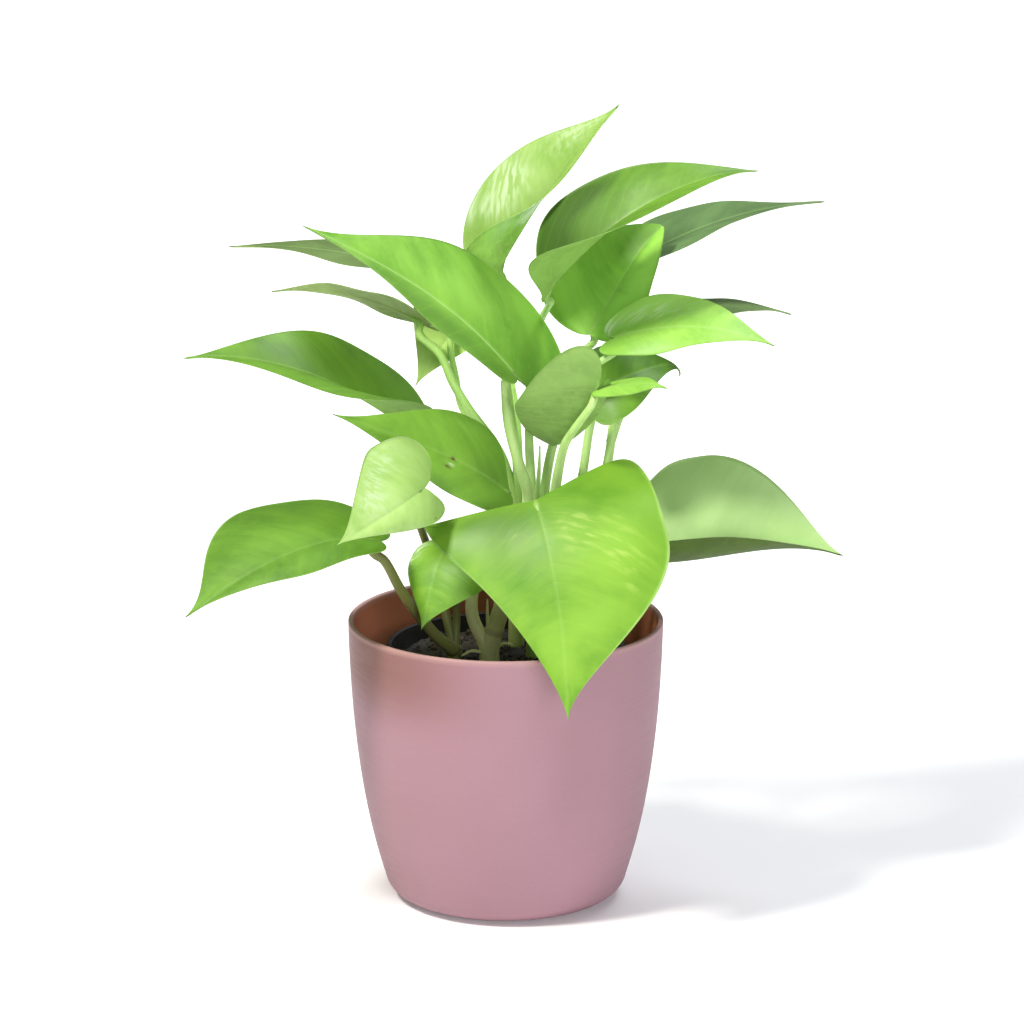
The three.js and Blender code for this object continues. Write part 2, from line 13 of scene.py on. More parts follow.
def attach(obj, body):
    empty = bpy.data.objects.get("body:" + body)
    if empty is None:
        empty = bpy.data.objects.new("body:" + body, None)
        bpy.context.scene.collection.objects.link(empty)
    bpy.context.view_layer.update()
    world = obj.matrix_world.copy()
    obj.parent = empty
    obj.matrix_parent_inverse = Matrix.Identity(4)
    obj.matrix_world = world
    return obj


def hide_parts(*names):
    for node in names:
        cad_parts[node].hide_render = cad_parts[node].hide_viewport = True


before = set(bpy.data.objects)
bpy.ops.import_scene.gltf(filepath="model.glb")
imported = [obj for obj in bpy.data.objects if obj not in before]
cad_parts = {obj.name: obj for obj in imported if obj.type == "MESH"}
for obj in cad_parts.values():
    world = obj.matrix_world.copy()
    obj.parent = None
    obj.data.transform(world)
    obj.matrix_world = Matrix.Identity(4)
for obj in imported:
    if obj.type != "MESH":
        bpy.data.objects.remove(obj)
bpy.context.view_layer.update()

MM = 0.001
UP = np.array([0.0, 0.0, 1.0])
SEED = 7
random = np.random.default_rng(SEED)

# The outer pot, as in the part.
POT_RIM_RADIUS = 60.5
POT_HEIGHT = 110.0
POT_WALL = 1.9
POT_FLOOR = 3.0
POT_CORNER = [(33.0, 0.0), (45.6, 0.3), (47.0, 9.0)]
POT_SIDE = [(47.0, 9.0), (52.8, 27.0), (59.6, 58.0), (POT_RIM_RADIUS, POT_HEIGHT)]
POT_INNER_CORNER = [(45.1, 9), (44.4, 3.2), (36, POT_FLOOR)]
POT_FACETS = 192

# The nursery pot.
NURSERY_RIM_RADIUS = 46.0
NURSERY_BASE_RADIUS = 32.0
NURSERY_FOOT = 3.3
NURSERY_TOP = 99.5
NURSERY_WALL = 1.2
NURSERY_LIP = 2.5
NURSERY_FACETS = 144
DRAIN_HOLES = 6
DRAIN_RADIUS = 4.0
DRAIN_CIRCLE = 21.0

# The soil.
SOIL_TOP = 93.0
SOIL_BOTTOM = 4.8
SOIL_INSET = 1.65
SOIL_RINGS = 60
SOIL_SPOKES = 200
SOIL_CRUMBS = 900
SOIL_FIBRES = 70
STEM_FOOT = 82.0
HOLE_GAP = 0.6

# Blades and petioles.
BLADE_THICKNESS = 0.6
MARGIN_TRIM = 0.2
BLADE_ROWS = 76
BLADE_COLUMNS = 26
CUP_FADE = 0.35
MIDRIB_POWER = 1.6
VEIN_LEAN = 0.16
VEIN_BEND = 0.2
VEIN_FAN = 0.4
VEINS = 12.0
VEIN_QUILT = 0.02
SURFACE_WAVES = 0.55
WAVE_SIZE = 16
COLUMN_CROWDING = 1.25
RIB_WIDTH = 0.75
RIB_GROOVE = 0.2
RIB_RIDGE = 0.45
EDGE_THINNING = 0.62
PETIOLE_INSET = 1.5
PETIOLE_REACH = 0.65
PETIOLE_RUN = 6.0
RIB_RADIUS = 0.35
RIB_SINK = 0.45
KNEE_LENGTH = 4.0
KNEE_LIFT = 0.9
TUBE_SIDES = 28
TUBE_STEP = 1.3

# How a blade's upper face, lower face and rim are laid out on its flat map.
MAP_MARGIN = 0.01
MAP_WIDTH = 0.46
MAP_SHIFT = 0.52
MAP_RIM = 0.008

# The floor glows a little, more so far from the pot. Lights are placed in metres.
NEAR_GLOW = 0.1
FAR_GLOW = 0.7
MIDDLE = (0.0, 0.0, 0.17)
WORLD_STRENGTH = 0.22

# The camera, at the photograph's viewing angle.
CAMERA_PLACE = (2.4, -1741.88, 605.58)
CAMERA_TARGET = (2.4, 0.0, 151.855)
SENSOR = 36.0
FOCAL_PIXELS = 4716.0
IMAGE_SIZE = 1024.0


def unit(v):
    return v / np.linalg.norm(v, axis=-1, keepdims=True)


def bezier(handles, t):
    """Points of a quadratic or cubic curve at t, which may be an array."""
    points = [np.asarray(h, float) for h in handles]
    t = np.asarray(t, float)[..., None]
    while len(points) > 1:
        points = [a * (1 - t) + b * t for a, b in zip(points, points[1:])]
    return points[0]


def smooth(x, low, high):
    t = np.clip((x - low) / (high - low), 0, 1)
    return t * t * (3 - 2 * t)


# Meshes


class Build:
    """Collects points, faces and per-point values, and makes one object of them."""

    def __init__(self):
        self.points = []
        self.faces = []
        self.values = {}
        self.maps = []
        self.count = 0

    def add(self, points, faces, values=None, face_map=None):
        points = np.asarray(points, float)
        offset = self.count
        self.points.append(points)
        self.faces.extend(tuple(i + offset for i in face) for face in faces)
        for key, value in (values or {}).items():
            value = np.asarray(value, float)
            self.values.setdefault(key, []).append((offset, value))
        if face_map:
            self.maps.extend(face_map)
        self.count += len(points)

    def make(self, name, material, node):
        mesh = bpy.data.meshes.new(name)
        points = np.concatenate(self.points) * MM
        mesh.from_pydata(points.tolist(), [], self.faces)
        for key, pieces in self.values.items():
            width = 1 if pieces[0][1].ndim == 1 else pieces[0][1].shape[1]
            kind = {1: "FLOAT", 4: "FLOAT_COLOR"}[width]
            data = np.zeros((self.count, width))
            for offset, value in pieces:
                data[offset:offset + len(value)] = value.reshape(len(value), width)
            attribute = mesh.attributes.new(key, kind, "POINT")
            field = {1: "value", 4: "color"}[width]
            attribute.data.foreach_set(field, data.ravel())
        if self.maps:
            layer = mesh.uv_layers.new(name="OFBake")
            layer.data.foreach_set("uv", np.array(self.maps, float).ravel())
        mesh.polygons.foreach_set("use_smooth", [True] * len(mesh.polygons))
        mesh.materials.append(material)
        mesh.update()
        mesh.validate()
        obj = bpy.data.objects.new(name, mesh)
        bpy.context.scene.collection.objects.link(obj)
        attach(obj, "root")
        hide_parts(node)
        return obj


def turned(profile, facets):
    """Points and faces of a closed body of revolution from (radius, height) pairs."""
    angles = np.linspace(0, 2 * np.pi, facets, endpoint=False)
    points, rings = [], []
    for radius, height in profile:
        rings.append((len(points), radius == 0))
        for angle in angles[:1] if radius == 0 else angles:
            points.append((radius * np.cos(angle), radius * np.sin(angle), height))
    faces = []
    for (a, a_tip), (b, b_tip) in zip(rings, rings[1:]):
        for i in range(facets):
            j = (i + 1) % facets
            if a_tip:
                faces.append((a, b + j, b + i))
            elif b_tip:
                faces.append((a + i, a + j, b))
            else:
                faces.append((a + i, a + j, b + j, b + i))
    return points, faces


# Materials


def linear(red, green, blue):
    """A colour given as the 0 to 255 values seen on a screen, as the shader's own values."""
    c = np.array([red, green, blue]) / 255
    return tuple(np.where(c <= 0.04045, c / 12.92, ((c + 0.055) / 1.055) ** 2.4)) + (1.0,)


class Shade:
    """A material's node tree, with short calls for the nodes it uses."""

    def __init__(self, name):
        self.material = bpy.data.materials.new(name)
        self.material.use_nodes = True
        self.tree = self.material.node_tree
        self.tree.nodes.clear()
        self.output = self.tree.nodes.new("ShaderNodeOutputMaterial")

    def node(self, kind, inputs=None, **settings):
        made = self.tree.nodes.new("ShaderNode" + kind)
        for key, value in settings.items():
            setattr(made, key, value)
        for key, value in (inputs or {}).items():
            if isinstance(value, bpy.types.NodeSocket):
                self.tree.links.new(value, made.inputs[key])
            else:
                made.inputs[key].default_value = value
        return made

    def math(self, operation, *values, clamp=False):
        inputs = dict(enumerate(values))
        return self.node("Math", inputs, operation=operation, use_clamp=clamp).outputs[0]

    def value(self, name):
        return self.node("Attribute", attribute_name=name).outputs["Fac"]

    def step(self, x, low, high, out_low=0.0, out_high=1.0):
        inputs = {0: x, 1: low, 2: high, 3: out_low, 4: out_high}
        return self.node("MapRange", inputs, interpolation_type="SMOOTHSTEP").outputs[0]

    def mix(self, factor, a, b, blend="MIX"):
        made = self.node("Mix", {0: factor, 6: a, 7: b}, data_type="RGBA", blend_type=blend)
        return made.outputs[2]

    def place(self, scale=(1, 1, 1)):
        where = self.node("TexCoord").outputs["Object"]
        return self.node("Mapping", {"Vector": where, "Scale": scale}).outputs[0]

    def noise(self, where, scale, detail=3.0, roughness=0.5):
        inputs = {"Vector": where, "Scale": scale, "Detail": detail, "Roughness": roughness}
        return self.node("TexNoise", inputs).outputs["Fac"]

    def bump(self, height, distance, strength=1.0, normal=None):
        inputs = {"Height": height, "Distance": distance * MM, "Strength": strength}
        if normal:
            inputs["Normal"] = normal
        return self.node("Bump", inputs).outputs[0]

    def surface(self, shader):
        self.tree.links.new(shader, self.output.inputs["Surface"])
        return self.material


def pot_material():
    s = Shade("pot_pink_plastic")
    where = s.place()
    broad = s.noise(where, 14.0, 2.0)
    grain = s.noise(where, 900.0, 2.0)
    scuffs = s.noise(s.place((60, 60, 900)), 1.0, 3.0)
    colour = s.mix(s.step(broad, 0.3, 0.7), linear(158, 120, 129), linear(165, 126, 137))
    x, y, z = s.node("SeparateXYZ", {0: where}).outputs
    # A browner patch at the front left below the rim, standing for the shade of the leaves.
    warm = s.math("MULTIPLY", s.step(z, 0.072, 0.1), s.step(x, -0.052, 0.005, 1.0, 0.0))
    warm = s.math("MULTIPLY", warm, s.step(y, -0.03, 0.01, 1.0, 0.0))
    colour = s.mix(s.math("MULTIPLY", warm, 0.85), colour, linear(120, 78, 65))
    # The inside is painted orange-brown, standing for warm light bounced between the walls in shade.
    colour = s.mix(s.value("inside"), colour, linear(182, 110, 80))
    colour = s.mix(s.math("MULTIPLY", s.value("rim"), 0.6), colour, linear(184, 146, 138))
    colour = s.mix(s.step(grain, 0.45, 0.75, 0.0, 0.1), colour, linear(146, 106, 112))
    roughness = s.step(scuffs, 0.35, 0.7, 0.52, 0.62)
    normal = s.bump(grain, 0.05, 0.3)
    shader = s.node("BsdfPrincipled", {
        "Base Color": colour, "Roughness": roughness, "Normal": normal,
        "Specular IOR Level": 0.4,
    })
    return s.surface(shader.outputs[0])


def nursery_material():
    s = Shade("nursery_black_plastic")
    where = s.place()
    dust = s.noise(where, 120.0, 4.0)
    grain = s.noise(where, 700.0, 2.0)
    colour = s.mix(s.step(dust, 0.5, 0.8, 0.0, 0.4), linear(16, 16, 16), linear(48, 46, 42))
    shader = s.node("BsdfPrincipled", {
        "Base Color": colour,
        "Roughness": s.step(dust, 0.3, 0.7, 0.45, 0.65),
        "Normal": s.bump(grain, 0.06, 0.4),
    })
    return s.surface(shader.outputs[0])


def soil_material():
    s = Shade("soil_damp_mix")
    where = s.place()
    broad = s.noise(where, 90.0, 5.0, 0.6)
    fine = s.noise(where, 900.0, 4.0, 0.6)
    colour = s.mix(s.step(broad, 0.35, 0.7), linear(22, 20, 14), linear(48, 43, 31))
    colour = s.mix(s.step(fine, 0.5, 0.8, 0.0, 0.5), colour, linear(60, 50, 38))
    colour = s.mix(s.math("MULTIPLY", s.value("tint"), 0.8), colour, linear(84, 64, 42))
    shader = s.node("BsdfPrincipled", {
        "Base Color": colour,
        "Roughness": s.step(broad, 0.3, 0.7, 0.75, 0.95),
        "Normal": s.bump(fine, 0.5, 0.7),
    })
    return s.surface(shader.outputs[0])


# Each stem's colours: its petioles and its lowest part. The petioles of stem_centre, stem_back and
# stem_right are painted lighter than living stems, to make up for the shade of the leaves above them,
# and the lowest part of each stem is painted lighter still, for the shade inside the pot.
STEM_TONES = {
    "stem_left": ((112, 118, 58), (136, 138, 74)),
    "stem_centre": ((200, 234, 142), (244, 240, 178)),
    "stem_back": ((200, 242, 136), (206, 220, 138)),
    "stem_right": ((202, 238, 146), (188, 212, 120)),
}


def stem_material(tone):
    s = Shade(tone + "_green")
    streak = s.noise(s.place((260, 260, 22)), 1.0, 3.0, 0.6)
    cells = s.noise(s.place(), 600.0, 3.0)
    height = s.node("SeparateXYZ", {0: s.place()}).outputs[2]
    petioles, low = (linear(*c) for c in STEM_TONES[tone])
    dark = tuple(0.86 * c for c in petioles[:3]) + (1.0,)
    colour = s.mix(s.step(streak, 0.35, 0.68), dark, petioles)
    # The lowest part is painted lighter, to make up for the shade inside the pot.
    colour = s.mix(s.step(height, 0.1, 0.17, 0.9, 0.0), colour, low)
    colour = s.mix(s.step(s.value("edge"), 0.35, 0.95, 0.0, 0.4), colour, linear(198, 214, 156))
    colour = s.mix(s.math("MULTIPLY", s.value("knee"), 0.7), colour, linear(138, 188, 76))
    colour = s.mix(s.math("MULTIPLY", s.value("scar"), 0.55), colour, linear(128, 112, 66))
    colour = s.mix(s.step(cells, 0.55, 0.8, 0.0, 0.12), colour, linear(110, 134, 60))
    skin = s.node("BsdfPrincipled", {
        "Base Color": colour,
        "Roughness": s.step(streak, 0.3, 0.7, 0.4, 0.5),
        "Normal": s.bump(streak, 0.12, 0.4, s.bump(cells, 0.05, 0.3)),
        "Coat Weight": 0.08, "Coat Roughness": 0.3,
    })
    glow = s.node("BsdfTranslucent", {"Color": colour})
    both = s.node("MixShader", {0: 0.22, 1: skin.outputs[0], 2: glow.outputs[0]})
    return s.surface(both.outputs[0])


# Each leaf's colours: light and dark of its upper face, and its underside. Two make up for light
# and shade: shaded is painted lighter than its leaf, for the shade leaf_back_hanging hangs in, and pale
# has its upper face painted lighter and its underside darker, standing for the light and shade on
# leaf_right_low.
TONES = {
    "front": ((131, 182, 46), (92, 150, 30), (112, 154, 72)),
    "fresh": ((168, 219, 92), (134, 191, 70), (118, 160, 72)),
    "upper": ((149, 206, 76), (108, 167, 52), (118, 160, 72)),
    "mid": ((118, 168, 50), (86, 133, 36), (124, 166, 72)),
    "left": ((138, 192, 66), (106, 158, 50), (98, 126, 60)),
    "back": ((128, 160, 92), (104, 134, 76), (98, 122, 76)),
    "olive": ((112, 140, 78), (90, 114, 60), (140, 164, 94)),
    # Painted lighter, to make up for the shade this leaf hangs in.
    "shaded": ((206, 238, 134), (176, 216, 110), (130, 152, 84)),
    "grey": ((106, 140, 84), (84, 114, 66), (96, 120, 74)),
    # Upper face painted lighter for the glancing light on it, underside painted darker for shade.
    "pale": ((184, 218, 140), (168, 206, 126), (66, 92, 14)),
    "mottled": ((136, 180, 88), (94, 136, 54), (128, 164, 82)),
    "young": ((172, 205, 116), (136, 182, 74), (158, 206, 90)),
    "newest": ((186, 218, 128), (150, 198, 86), (162, 212, 92)),
}


def leaf_material(tone, gloss=0.0):
    s = Shade("leaf_" + tone)
    light, dark, under = (linear(*c) for c in TONES[tone])
    where = s.place()
    across = s.value("across")
    v = s.math("ABSOLUTE", across)
    warp = s.math("MULTIPLY", s.math("SUBTRACT", s.noise(where, 55.0, 2.0), 0.5), 0.03)
    q = s.math("ADD", s.value("vein"), warp)
    turn = s.math("MULTIPLY", q, 2 * np.pi * VEINS)
    band = s.math("MULTIPLY_ADD", s.math("COSINE", turn), 0.5, 0.5)
    fine_turn = s.math("MULTIPLY", q, 2 * np.pi * VEINS * 5)
    fine = s.math("MULTIPLY_ADD", s.math("COSINE", fine_turn), 0.5, 0.5)
    vein = s.step(band, 0.93, 1.0)
    broad = s.noise(where, 34.0, 2.0)
    cells = s.noise(where, 850.0, 2.0)
    streak_place = s.node("CombineXYZ", {
        0: s.math("MULTIPLY", q, 34.0), 1: s.math("MULTIPLY", across, 3.2), 2: s.value("seed"),
    }).outputs[0]
    streak = s.noise(streak_place, 1.0, 4.0, 0.6)
    patch_place = s.node("CombineXYZ", {
        0: s.math("MULTIPLY", q, 7.0), 1: across, 2: s.math("ADD", s.value("seed"), 5.0),
    }).outputs[0]
    patch = s.noise(patch_place, 1.0, 2.0)

    shade = s.math("MULTIPLY_ADD", broad, 0.6, s.math("MULTIPLY", patch, 0.6))
    shade = s.math("MULTIPLY_ADD", streak, 0.2, shade)
    colour = s.mix(s.step(shade, 0.45, 0.95), dark, light)
    colour = s.mix(s.math("MULTIPLY", s.math("SUBTRACT", 1.0, band), 0.04), colour, dark)
    speck = s.step(s.noise(where, 260.0, 3.0, 0.6), 0.45, 0.7, 0.0, 0.22)
    colour = s.mix(speck, colour, light)
    marked = s.node("Attribute", attribute_name="marks").outputs
    marks = s.node("SeparateColor", {0: marked["Color"]})
    # LIGHT marks: painted light where the strength is above 0 and painted shade below it, partly the
    # leaf's own tone.
    lit = s.math("MULTIPLY", marked["Alpha"], s.step(shade, 0.4, 0.8, 0.35, 1.0), clamp=True)
    colour = s.mix(lit, colour, linear(*(min(255, c + 22) for c in TONES[tone][0])))
    dim = s.math("MULTIPLY", marked["Alpha"], -1.0, clamp=True)
    colour = s.mix(dim, colour, linear(*(c * 0.78 for c in TONES[tone][1])))
    fleck_place = s.node("CombineXYZ", {
        0: s.math("MULTIPLY", q, 26.0), 1: s.math("MULTIPLY", across, 4.5), 2: s.value("seed"),
    }).outputs[0]
    fleck = s.noise(fleck_place, 1.0, 2.0)
    yellow = s.math("MULTIPLY", marks.outputs[0], s.step(fleck, 0.46, 0.72), clamp=True)
    colour = s.mix(yellow, colour, linear(196, 222, 110))
    # Creamy marks: the leaf's own creamy streaks, and on the glossy leaves painted highlights and
    # reflections.
    cream_and_sheen = s.math("MULTIPLY", marks.outputs[1], s.step(fleck, 0.4, 0.62, 0.12, 1.0), clamp=True)
    colour = s.mix(cream_and_sheen, colour, linear(222, 240, 200))
    colour = s.mix(s.math("MULTIPLY", vein, 0.08), colour, light)
    colour = s.mix(s.value("rib"), colour, linear(186, 224, 132))
    margin = s.step(v, 0.97, 1.0, 0.0, 0.4)
    colour = s.mix(margin, colour, linear(186, 218, 134))
    mottle = s.step(s.noise(where, 210.0, 3.0, 0.6), 0.42, 0.66, 0.0, 0.6)
    under_light = linear(*(min(255, c * 1.14 + 6) for c in TONES[tone][2]))
    below = s.mix(s.step(shade, 0.5, 0.95), under, under_light)
    below = s.mix(mottle, below, under_light)
    below = s.mix(s.math("MULTIPLY", vein, 0.3), below, under_light)
    colour = s.mix(s.value("under"), colour, below)
    brown = s.math("MULTIPLY", marks.outputs[2], s.step(s.noise(where, 420.0, 2.0), 0.36, 0.5))
    colour = s.mix(brown, colour, linear(104, 82, 50))

    base = 0.46 - 0.2 * gloss
    dull = s.math("MULTIPLY", s.value("under"), 0.2)
    roughness = s.math("ADD", s.step(broad, 0.3, 0.7, base, base + 0.1), dull)
    height = s.math("MULTIPLY_ADD", vein, -1.0, s.math("MULTIPLY", fine, 0.1))
    normal = s.bump(height, 0.05, 0.4, s.bump(cells, 0.06, 0.4))
    skin = s.node("BsdfPrincipled", {
        "Base Color": colour, "Roughness": roughness, "Normal": normal,
        "Coat Weight": 0.04 + 0.46 * gloss, "Coat Roughness": 0.26 - 0.14 * gloss,
        "Specular IOR Level": 0.4 + 0.1 * gloss,
    })
    glow = s.node("BsdfTranslucent", {"Color": colour})
    both = s.node("MixShader", {0: 0.2, 1: skin.outputs[0], 2: glow.outputs[0]})
    return s.surface(both.outputs[0])


# Leaf blades

# Each blade hangs on its midrib, which runs from base, where the petiole joins, to tip.
# half: the widths of its left and right halves, seen along the midrib from the base.
# lobe, shoulder, widest: how far each half reaches back past the base, how full it is there, and
# where it is widest, in blade lengths. taper: how long the outline stays full towards the tip.
# rise, fall: the midrib's angles to the straight line from base to tip, at the base and the tip.
# bow: the same two angles, sideways to the left. roll: how far its left side is lifted.
# fold, curl: how far each half is lifted from the midrib, and bends on upwards to its margin.
# cup: what is added to fold at the base and fades out towards the tip. wave: the margin's ripple.
# All angles are in degrees.
# marks: patches of another colour, as kind, place along and across, size along and across, and
# strength. Places along are shares of the outline, and places across run from -1, the right margin.
# LIGHT patches are lighter, and darker where the strength is below 0. They are partly the leaf's own
# tone and partly painted light and shade: the darker ones stand for shadows of other leaves and for
# parts turned from the light, the lighter ones for where the light falls.
# pale_rib: how clearly the midrib shows as a pale line.
YELLOW, CREAM_AND_SHEEN, BROWN, LIGHT = range(4)
BLADE_DEFAULTS = dict(
    lobe=(0.15, 0.15), shoulder=(0, 0), widest=(0.27, 0.27), taper=0.8, rise=0, fall=0,
    bow=(0, 0), roll=0, fold=(0, 0), curl=(0, 0), cup=(0, 0), wave=1.0,
    tone="mid", slot="leaf_green", gloss=0.0, pale_rib=0.45, marks=(),
)
BLADES = {
    "leaf_front": dict(
        base=(11, -37, 166), tip=(23, -85, 95), half=(45, 43), lobe=(0.36, 0.1), shoulder=(0.75, 0.4),
        widest=(0.3, -0.12), rise=25, fall=5, bow=(13, 8), roll=25, curl=(-25, -8),
        tone="front", pale_rib=0.25,
        marks=[
            (YELLOW, 0.36, 0.2, 0.05, 0.12, 0.6), (YELLOW, 0.45, 0.3, 0.06, 0.14, 0.75),
            (YELLOW, 0.5, 0.55, 0.05, 0.12, 0.7), (YELLOW, 0.58, 0.72, 0.06, 0.1, 0.5),
            (YELLOW, 0.42, -0.3, 0.06, 0.1, 0.25), (LIGHT, 0.55, 0.45, 0.2, 0.45, 0.7),
            (LIGHT, 0.8, -0.1, 0.12, 0.7, 0.6), (LIGHT, 0.35, -0.5, 0.22, 0.5, -0.7),
        ],
    ),
    "leaf_front_small": dict(
        base=(-21, -3, 140.5), tip=(-32, -26, 112.5), half=(26, 14), rise=40, fall=5, curl=(-20, -20),
        wave=0.5,
        tone="front", pale_rib=0.25,
        marks=[(CREAM_AND_SHEEN, 0.42, -0.95, 0.12, 0.25, 1.0), (LIGHT, 0.4, -0.6, 0.15, 0.4, 0.6)],
    ),
    "leaf_young_front": dict(
        base=(-30, -42, 172), tip=(-62, -68, 157), half=(13.5, 24), lobe=(0.24, 0.35),
        shoulder=(0.5, 0), widest=(0, 0.25), rise=20, fall=10, roll=-70, fold=(5, 5), curl=(-20, -20),
        tone="newest", slot="leaf_young", gloss=1.0,
        # Its two creamy patches are painted highlights of the white gloss on its face.
        marks=[
            (CREAM_AND_SHEEN, 0.66, -0.45, 0.1, 0.35, 0.75), (CREAM_AND_SHEEN, 0.5, -0.75, 0.08, 0.2, 0.5),
            (LIGHT, 0.55, 0.0, 0.3, 0.6, 0.6), (BROWN, 0.51, 0.88, 0.012, 0.025, 1.0),
        ],
    ),
    "leaf_left_low": dict(
        base=(-48, -28, 148), tip=(-119, -60, 127), half=(13, 36), lobe=(0.05, 0.22),
        widest=(0.35, 0.5), rise=35, fall=20, roll=-20, fold=(5, 5), curl=(-20, -20),
        tone="mid", pale_rib=0.15,
        marks=[(LIGHT, 0.5, -0.4, 0.3, 0.5, 0.2)],
    ),
    "leaf_left_centre": dict(
        base=(2, -7.5, 160.5), tip=(-65, -29.5, 197.5), half=(14, 22), lobe=(0.05, -0.08), rise=25,
        fall=10, roll=-55, fold=(5, 5), curl=(-20, -20),
        tone="left", pale_rib=0.25,
        marks=[
            (BROWN, 0.55, 0.02, 0.012, 0.045, 1.6), (BROWN, 0.575, 0.32, 0.012, 0.04, 1.3),
            (CREAM_AND_SHEEN, 0.565, 0.2, 0.015, 0.05, 1.0), (LIGHT, 0.3, -0.2, 0.15, 0.5, -0.6),
            (LIGHT, 0.5, -0.75, 0.12, 0.2, 0.5),
        ],
    ),
    "leaf_left": dict(
        base=(-36, 19.5, 178.5), tip=(-122, 1.5, 211.5), half=(28, 28), lobe=(0.02, 0.15), rise=25,
        fall=35, roll=-35, fold=(35, 5), curl=(-15, -15), cup=(40, 0),
        tone="mid",
        marks=[(LIGHT, 0.62, -0.3, 0.3, 0.6, -0.6), (LIGHT, 0.35, 0.4, 0.2, 0.4, 0.3)],
    ),
    "leaf_upper_left": dict(
        base=(4, -10, 207), tip=(-75, -35, 270), half=(15, 37.5), lobe=(0.02, 0.3),
        widest=(0.27, 0.16), taper=0.75, rise=10, fall=6, bow=(-12, -8), roll=-45, fold=(18, 5),
        curl=(-15, -15),
        tone="upper", pale_rib=1.0,
        # Its darker half is painted shade, for the half turned from the light.
        marks=[(LIGHT, 0.55, 0.7, 0.35, 0.55, -0.75), (LIGHT, 0.6, -0.35, 0.2, 0.3, 0.4)],
    ),
    "leaf_back_left": dict(
        base=(-29, 30, 238), tip=(-107, 45, 246), half=(12, 20), rise=10, fall=10, roll=-3,
        fold=(5, 5), curl=(-15, -15),
        tone="olive",
    ),
    "leaf_back_left_low": dict(
        base=(-31, 18, 222), tip=(-90, 32, 231), half=(15, 9), rise=15, fall=20, roll=31, fold=(5, 5),
        curl=(-15, -15),
        tone="olive",
    ),
    "leaf_back_hanging": dict(
        base=(-5, 42, 232), tip=(-35, 28, 194.5), half=(12, 23), lobe=(0.05, 0.05), rise=20, fall=20,
        roll=-50, fold=(5, 5), curl=(-15, -15),
        tone="shaded",
        # The darker base is painted shade in part.
        marks=[(LIGHT, 0.2, 0.0, 0.25, 0.8, -1.5)],
    ),
    "leaf_top": dict(
        base=(-4, 28, 238.5), tip=(43, 22, 305.5), half=(29, 21), lobe=(0.1, 0.15),
        widest=(0.27, 0.27), rise=5, bow=(5, 9), roll=55, fold=(0, 40), curl=(-10, 10), cup=(0, 60),
        wave=0.5,
        tone="young", slot="leaf_young", gloss=0.8,
        # Its creamy streaks are partly the leaf's own and partly painted reflections of light along the
        # veins.
        marks=[
            (CREAM_AND_SHEEN, 0.44, 0.85, 0.04, 0.2, 0.8), (CREAM_AND_SHEEN, 0.56, 0.7, 0.07, 0.35, 0.8),
            (CREAM_AND_SHEEN, 0.47, 0.5, 0.05, 0.2, 0.5), (CREAM_AND_SHEEN, 0.83, 0.7, 0.1, 0.4, 0.5),
            (LIGHT, 0.5, -0.2, 0.3, 0.3, -0.25),
        ],
    ),
    "leaf_top_right": dict(
        base=(13.5, -3, 234.5), tip=(95, 5, 283), half=(28, 24), lobe=(-0.06, -0.08),
        widest=(0.28, 0.24), rise=36, fall=42, roll=35, fold=(5, 30), curl=(-10, 0), cup=(0, 60),
        tone="mid",
        # Its darker base part is painted shade, and the lighter patch towards the tip painted light.
        marks=[
            (LIGHT, 0.3, 0.5, 0.2, 0.6, -1.4), (LIGHT, 0.52, 0.8, 0.1, 0.2, -1.4),
            (LIGHT, 0.7, 0.3, 0.15, 0.5, 0.5),
        ],
    ),
    "leaf_right_upper": dict(
        base=(32, 24.5, 216), tip=(60, 34.5, 256), half=(34, 25), lobe=(0.1, 0.02), taper=1.05,
        fall=20, roll=30, fold=(5, 20), curl=(-10, 0),
        tone="upper",
        # Its lighter lower part is painted light, and the darker part near the tip a painted shadow of
        # leaf_top_right.
        marks=[(LIGHT, 0.45, -0.6, 0.45, 0.6, 1.5), (LIGHT, 0.85, 0.25, 0.2, 0.7, -0.8)],
    ),
    "leaf_right_back": dict(
        base=(46, 46, 238), tip=(124, 61, 260.5), half=(25, 20), lobe=(0.05, 0.15), widest=(0.3, 0.27),
        taper=0.62, rise=15, fall=15, roll=10, fold=(5, 15), curl=(-10, 0),
        tone="grey", slot="leaf_pale",
    ),
    "leaf_right": dict(
        base=(41, -9, 222), tip=(101, -20, 221), half=(23, 12), rise=25, fall=30, roll=30,
        curl=(-15, -15),
        tone="fresh",
        marks=[(CREAM_AND_SHEEN, 0.18, 0.85, 0.1, 0.2, 1.0), (CREAM_AND_SHEEN, 0.42, 0.5, 0.12, 0.2, 0.5)],
    ),
    "leaf_right_far": dict(
        base=(56, 35, 224), tip=(111, 50, 218), half=(20, 20), rise=10, fall=15, curl=(-10, -10),
        tone="back",
    ),
    "leaf_centre_back": dict(
        base=(34, -2, 198), tip=(67, 30, 198), half=(16, 15), lobe=(0.02, 0.15), widest=(0.2, 0.05),
        taper=0.45, rise=55, fall=65, roll=40, fold=(10, 10), curl=(-15, -15),
        tone="mid",
    ),
    "leaf_centre": dict(
        base=(34, -30, 206.5), tip=(18, 3, 177.5), half=(24, 6), lobe=(0.5, 0.2), widest=(0.45, 0.27),
        taper=1.12, rise=-25, fall=-25, roll=30, fold=(0, 20), curl=(10, 0), wave=0.5,
        tone="mottled",
    ),
    "leaf_right_low": dict(
        base=(47, 0, 133), tip=(129, -5, 136), half=(45, 30), widest=(0.4, 0.27), rise=5, fall=15,
        bow=(-12, 15), roll=52, fold=(0, 70), curl=(-10, 25),
        tone="pale", slot="leaf_pale",
    ),
}
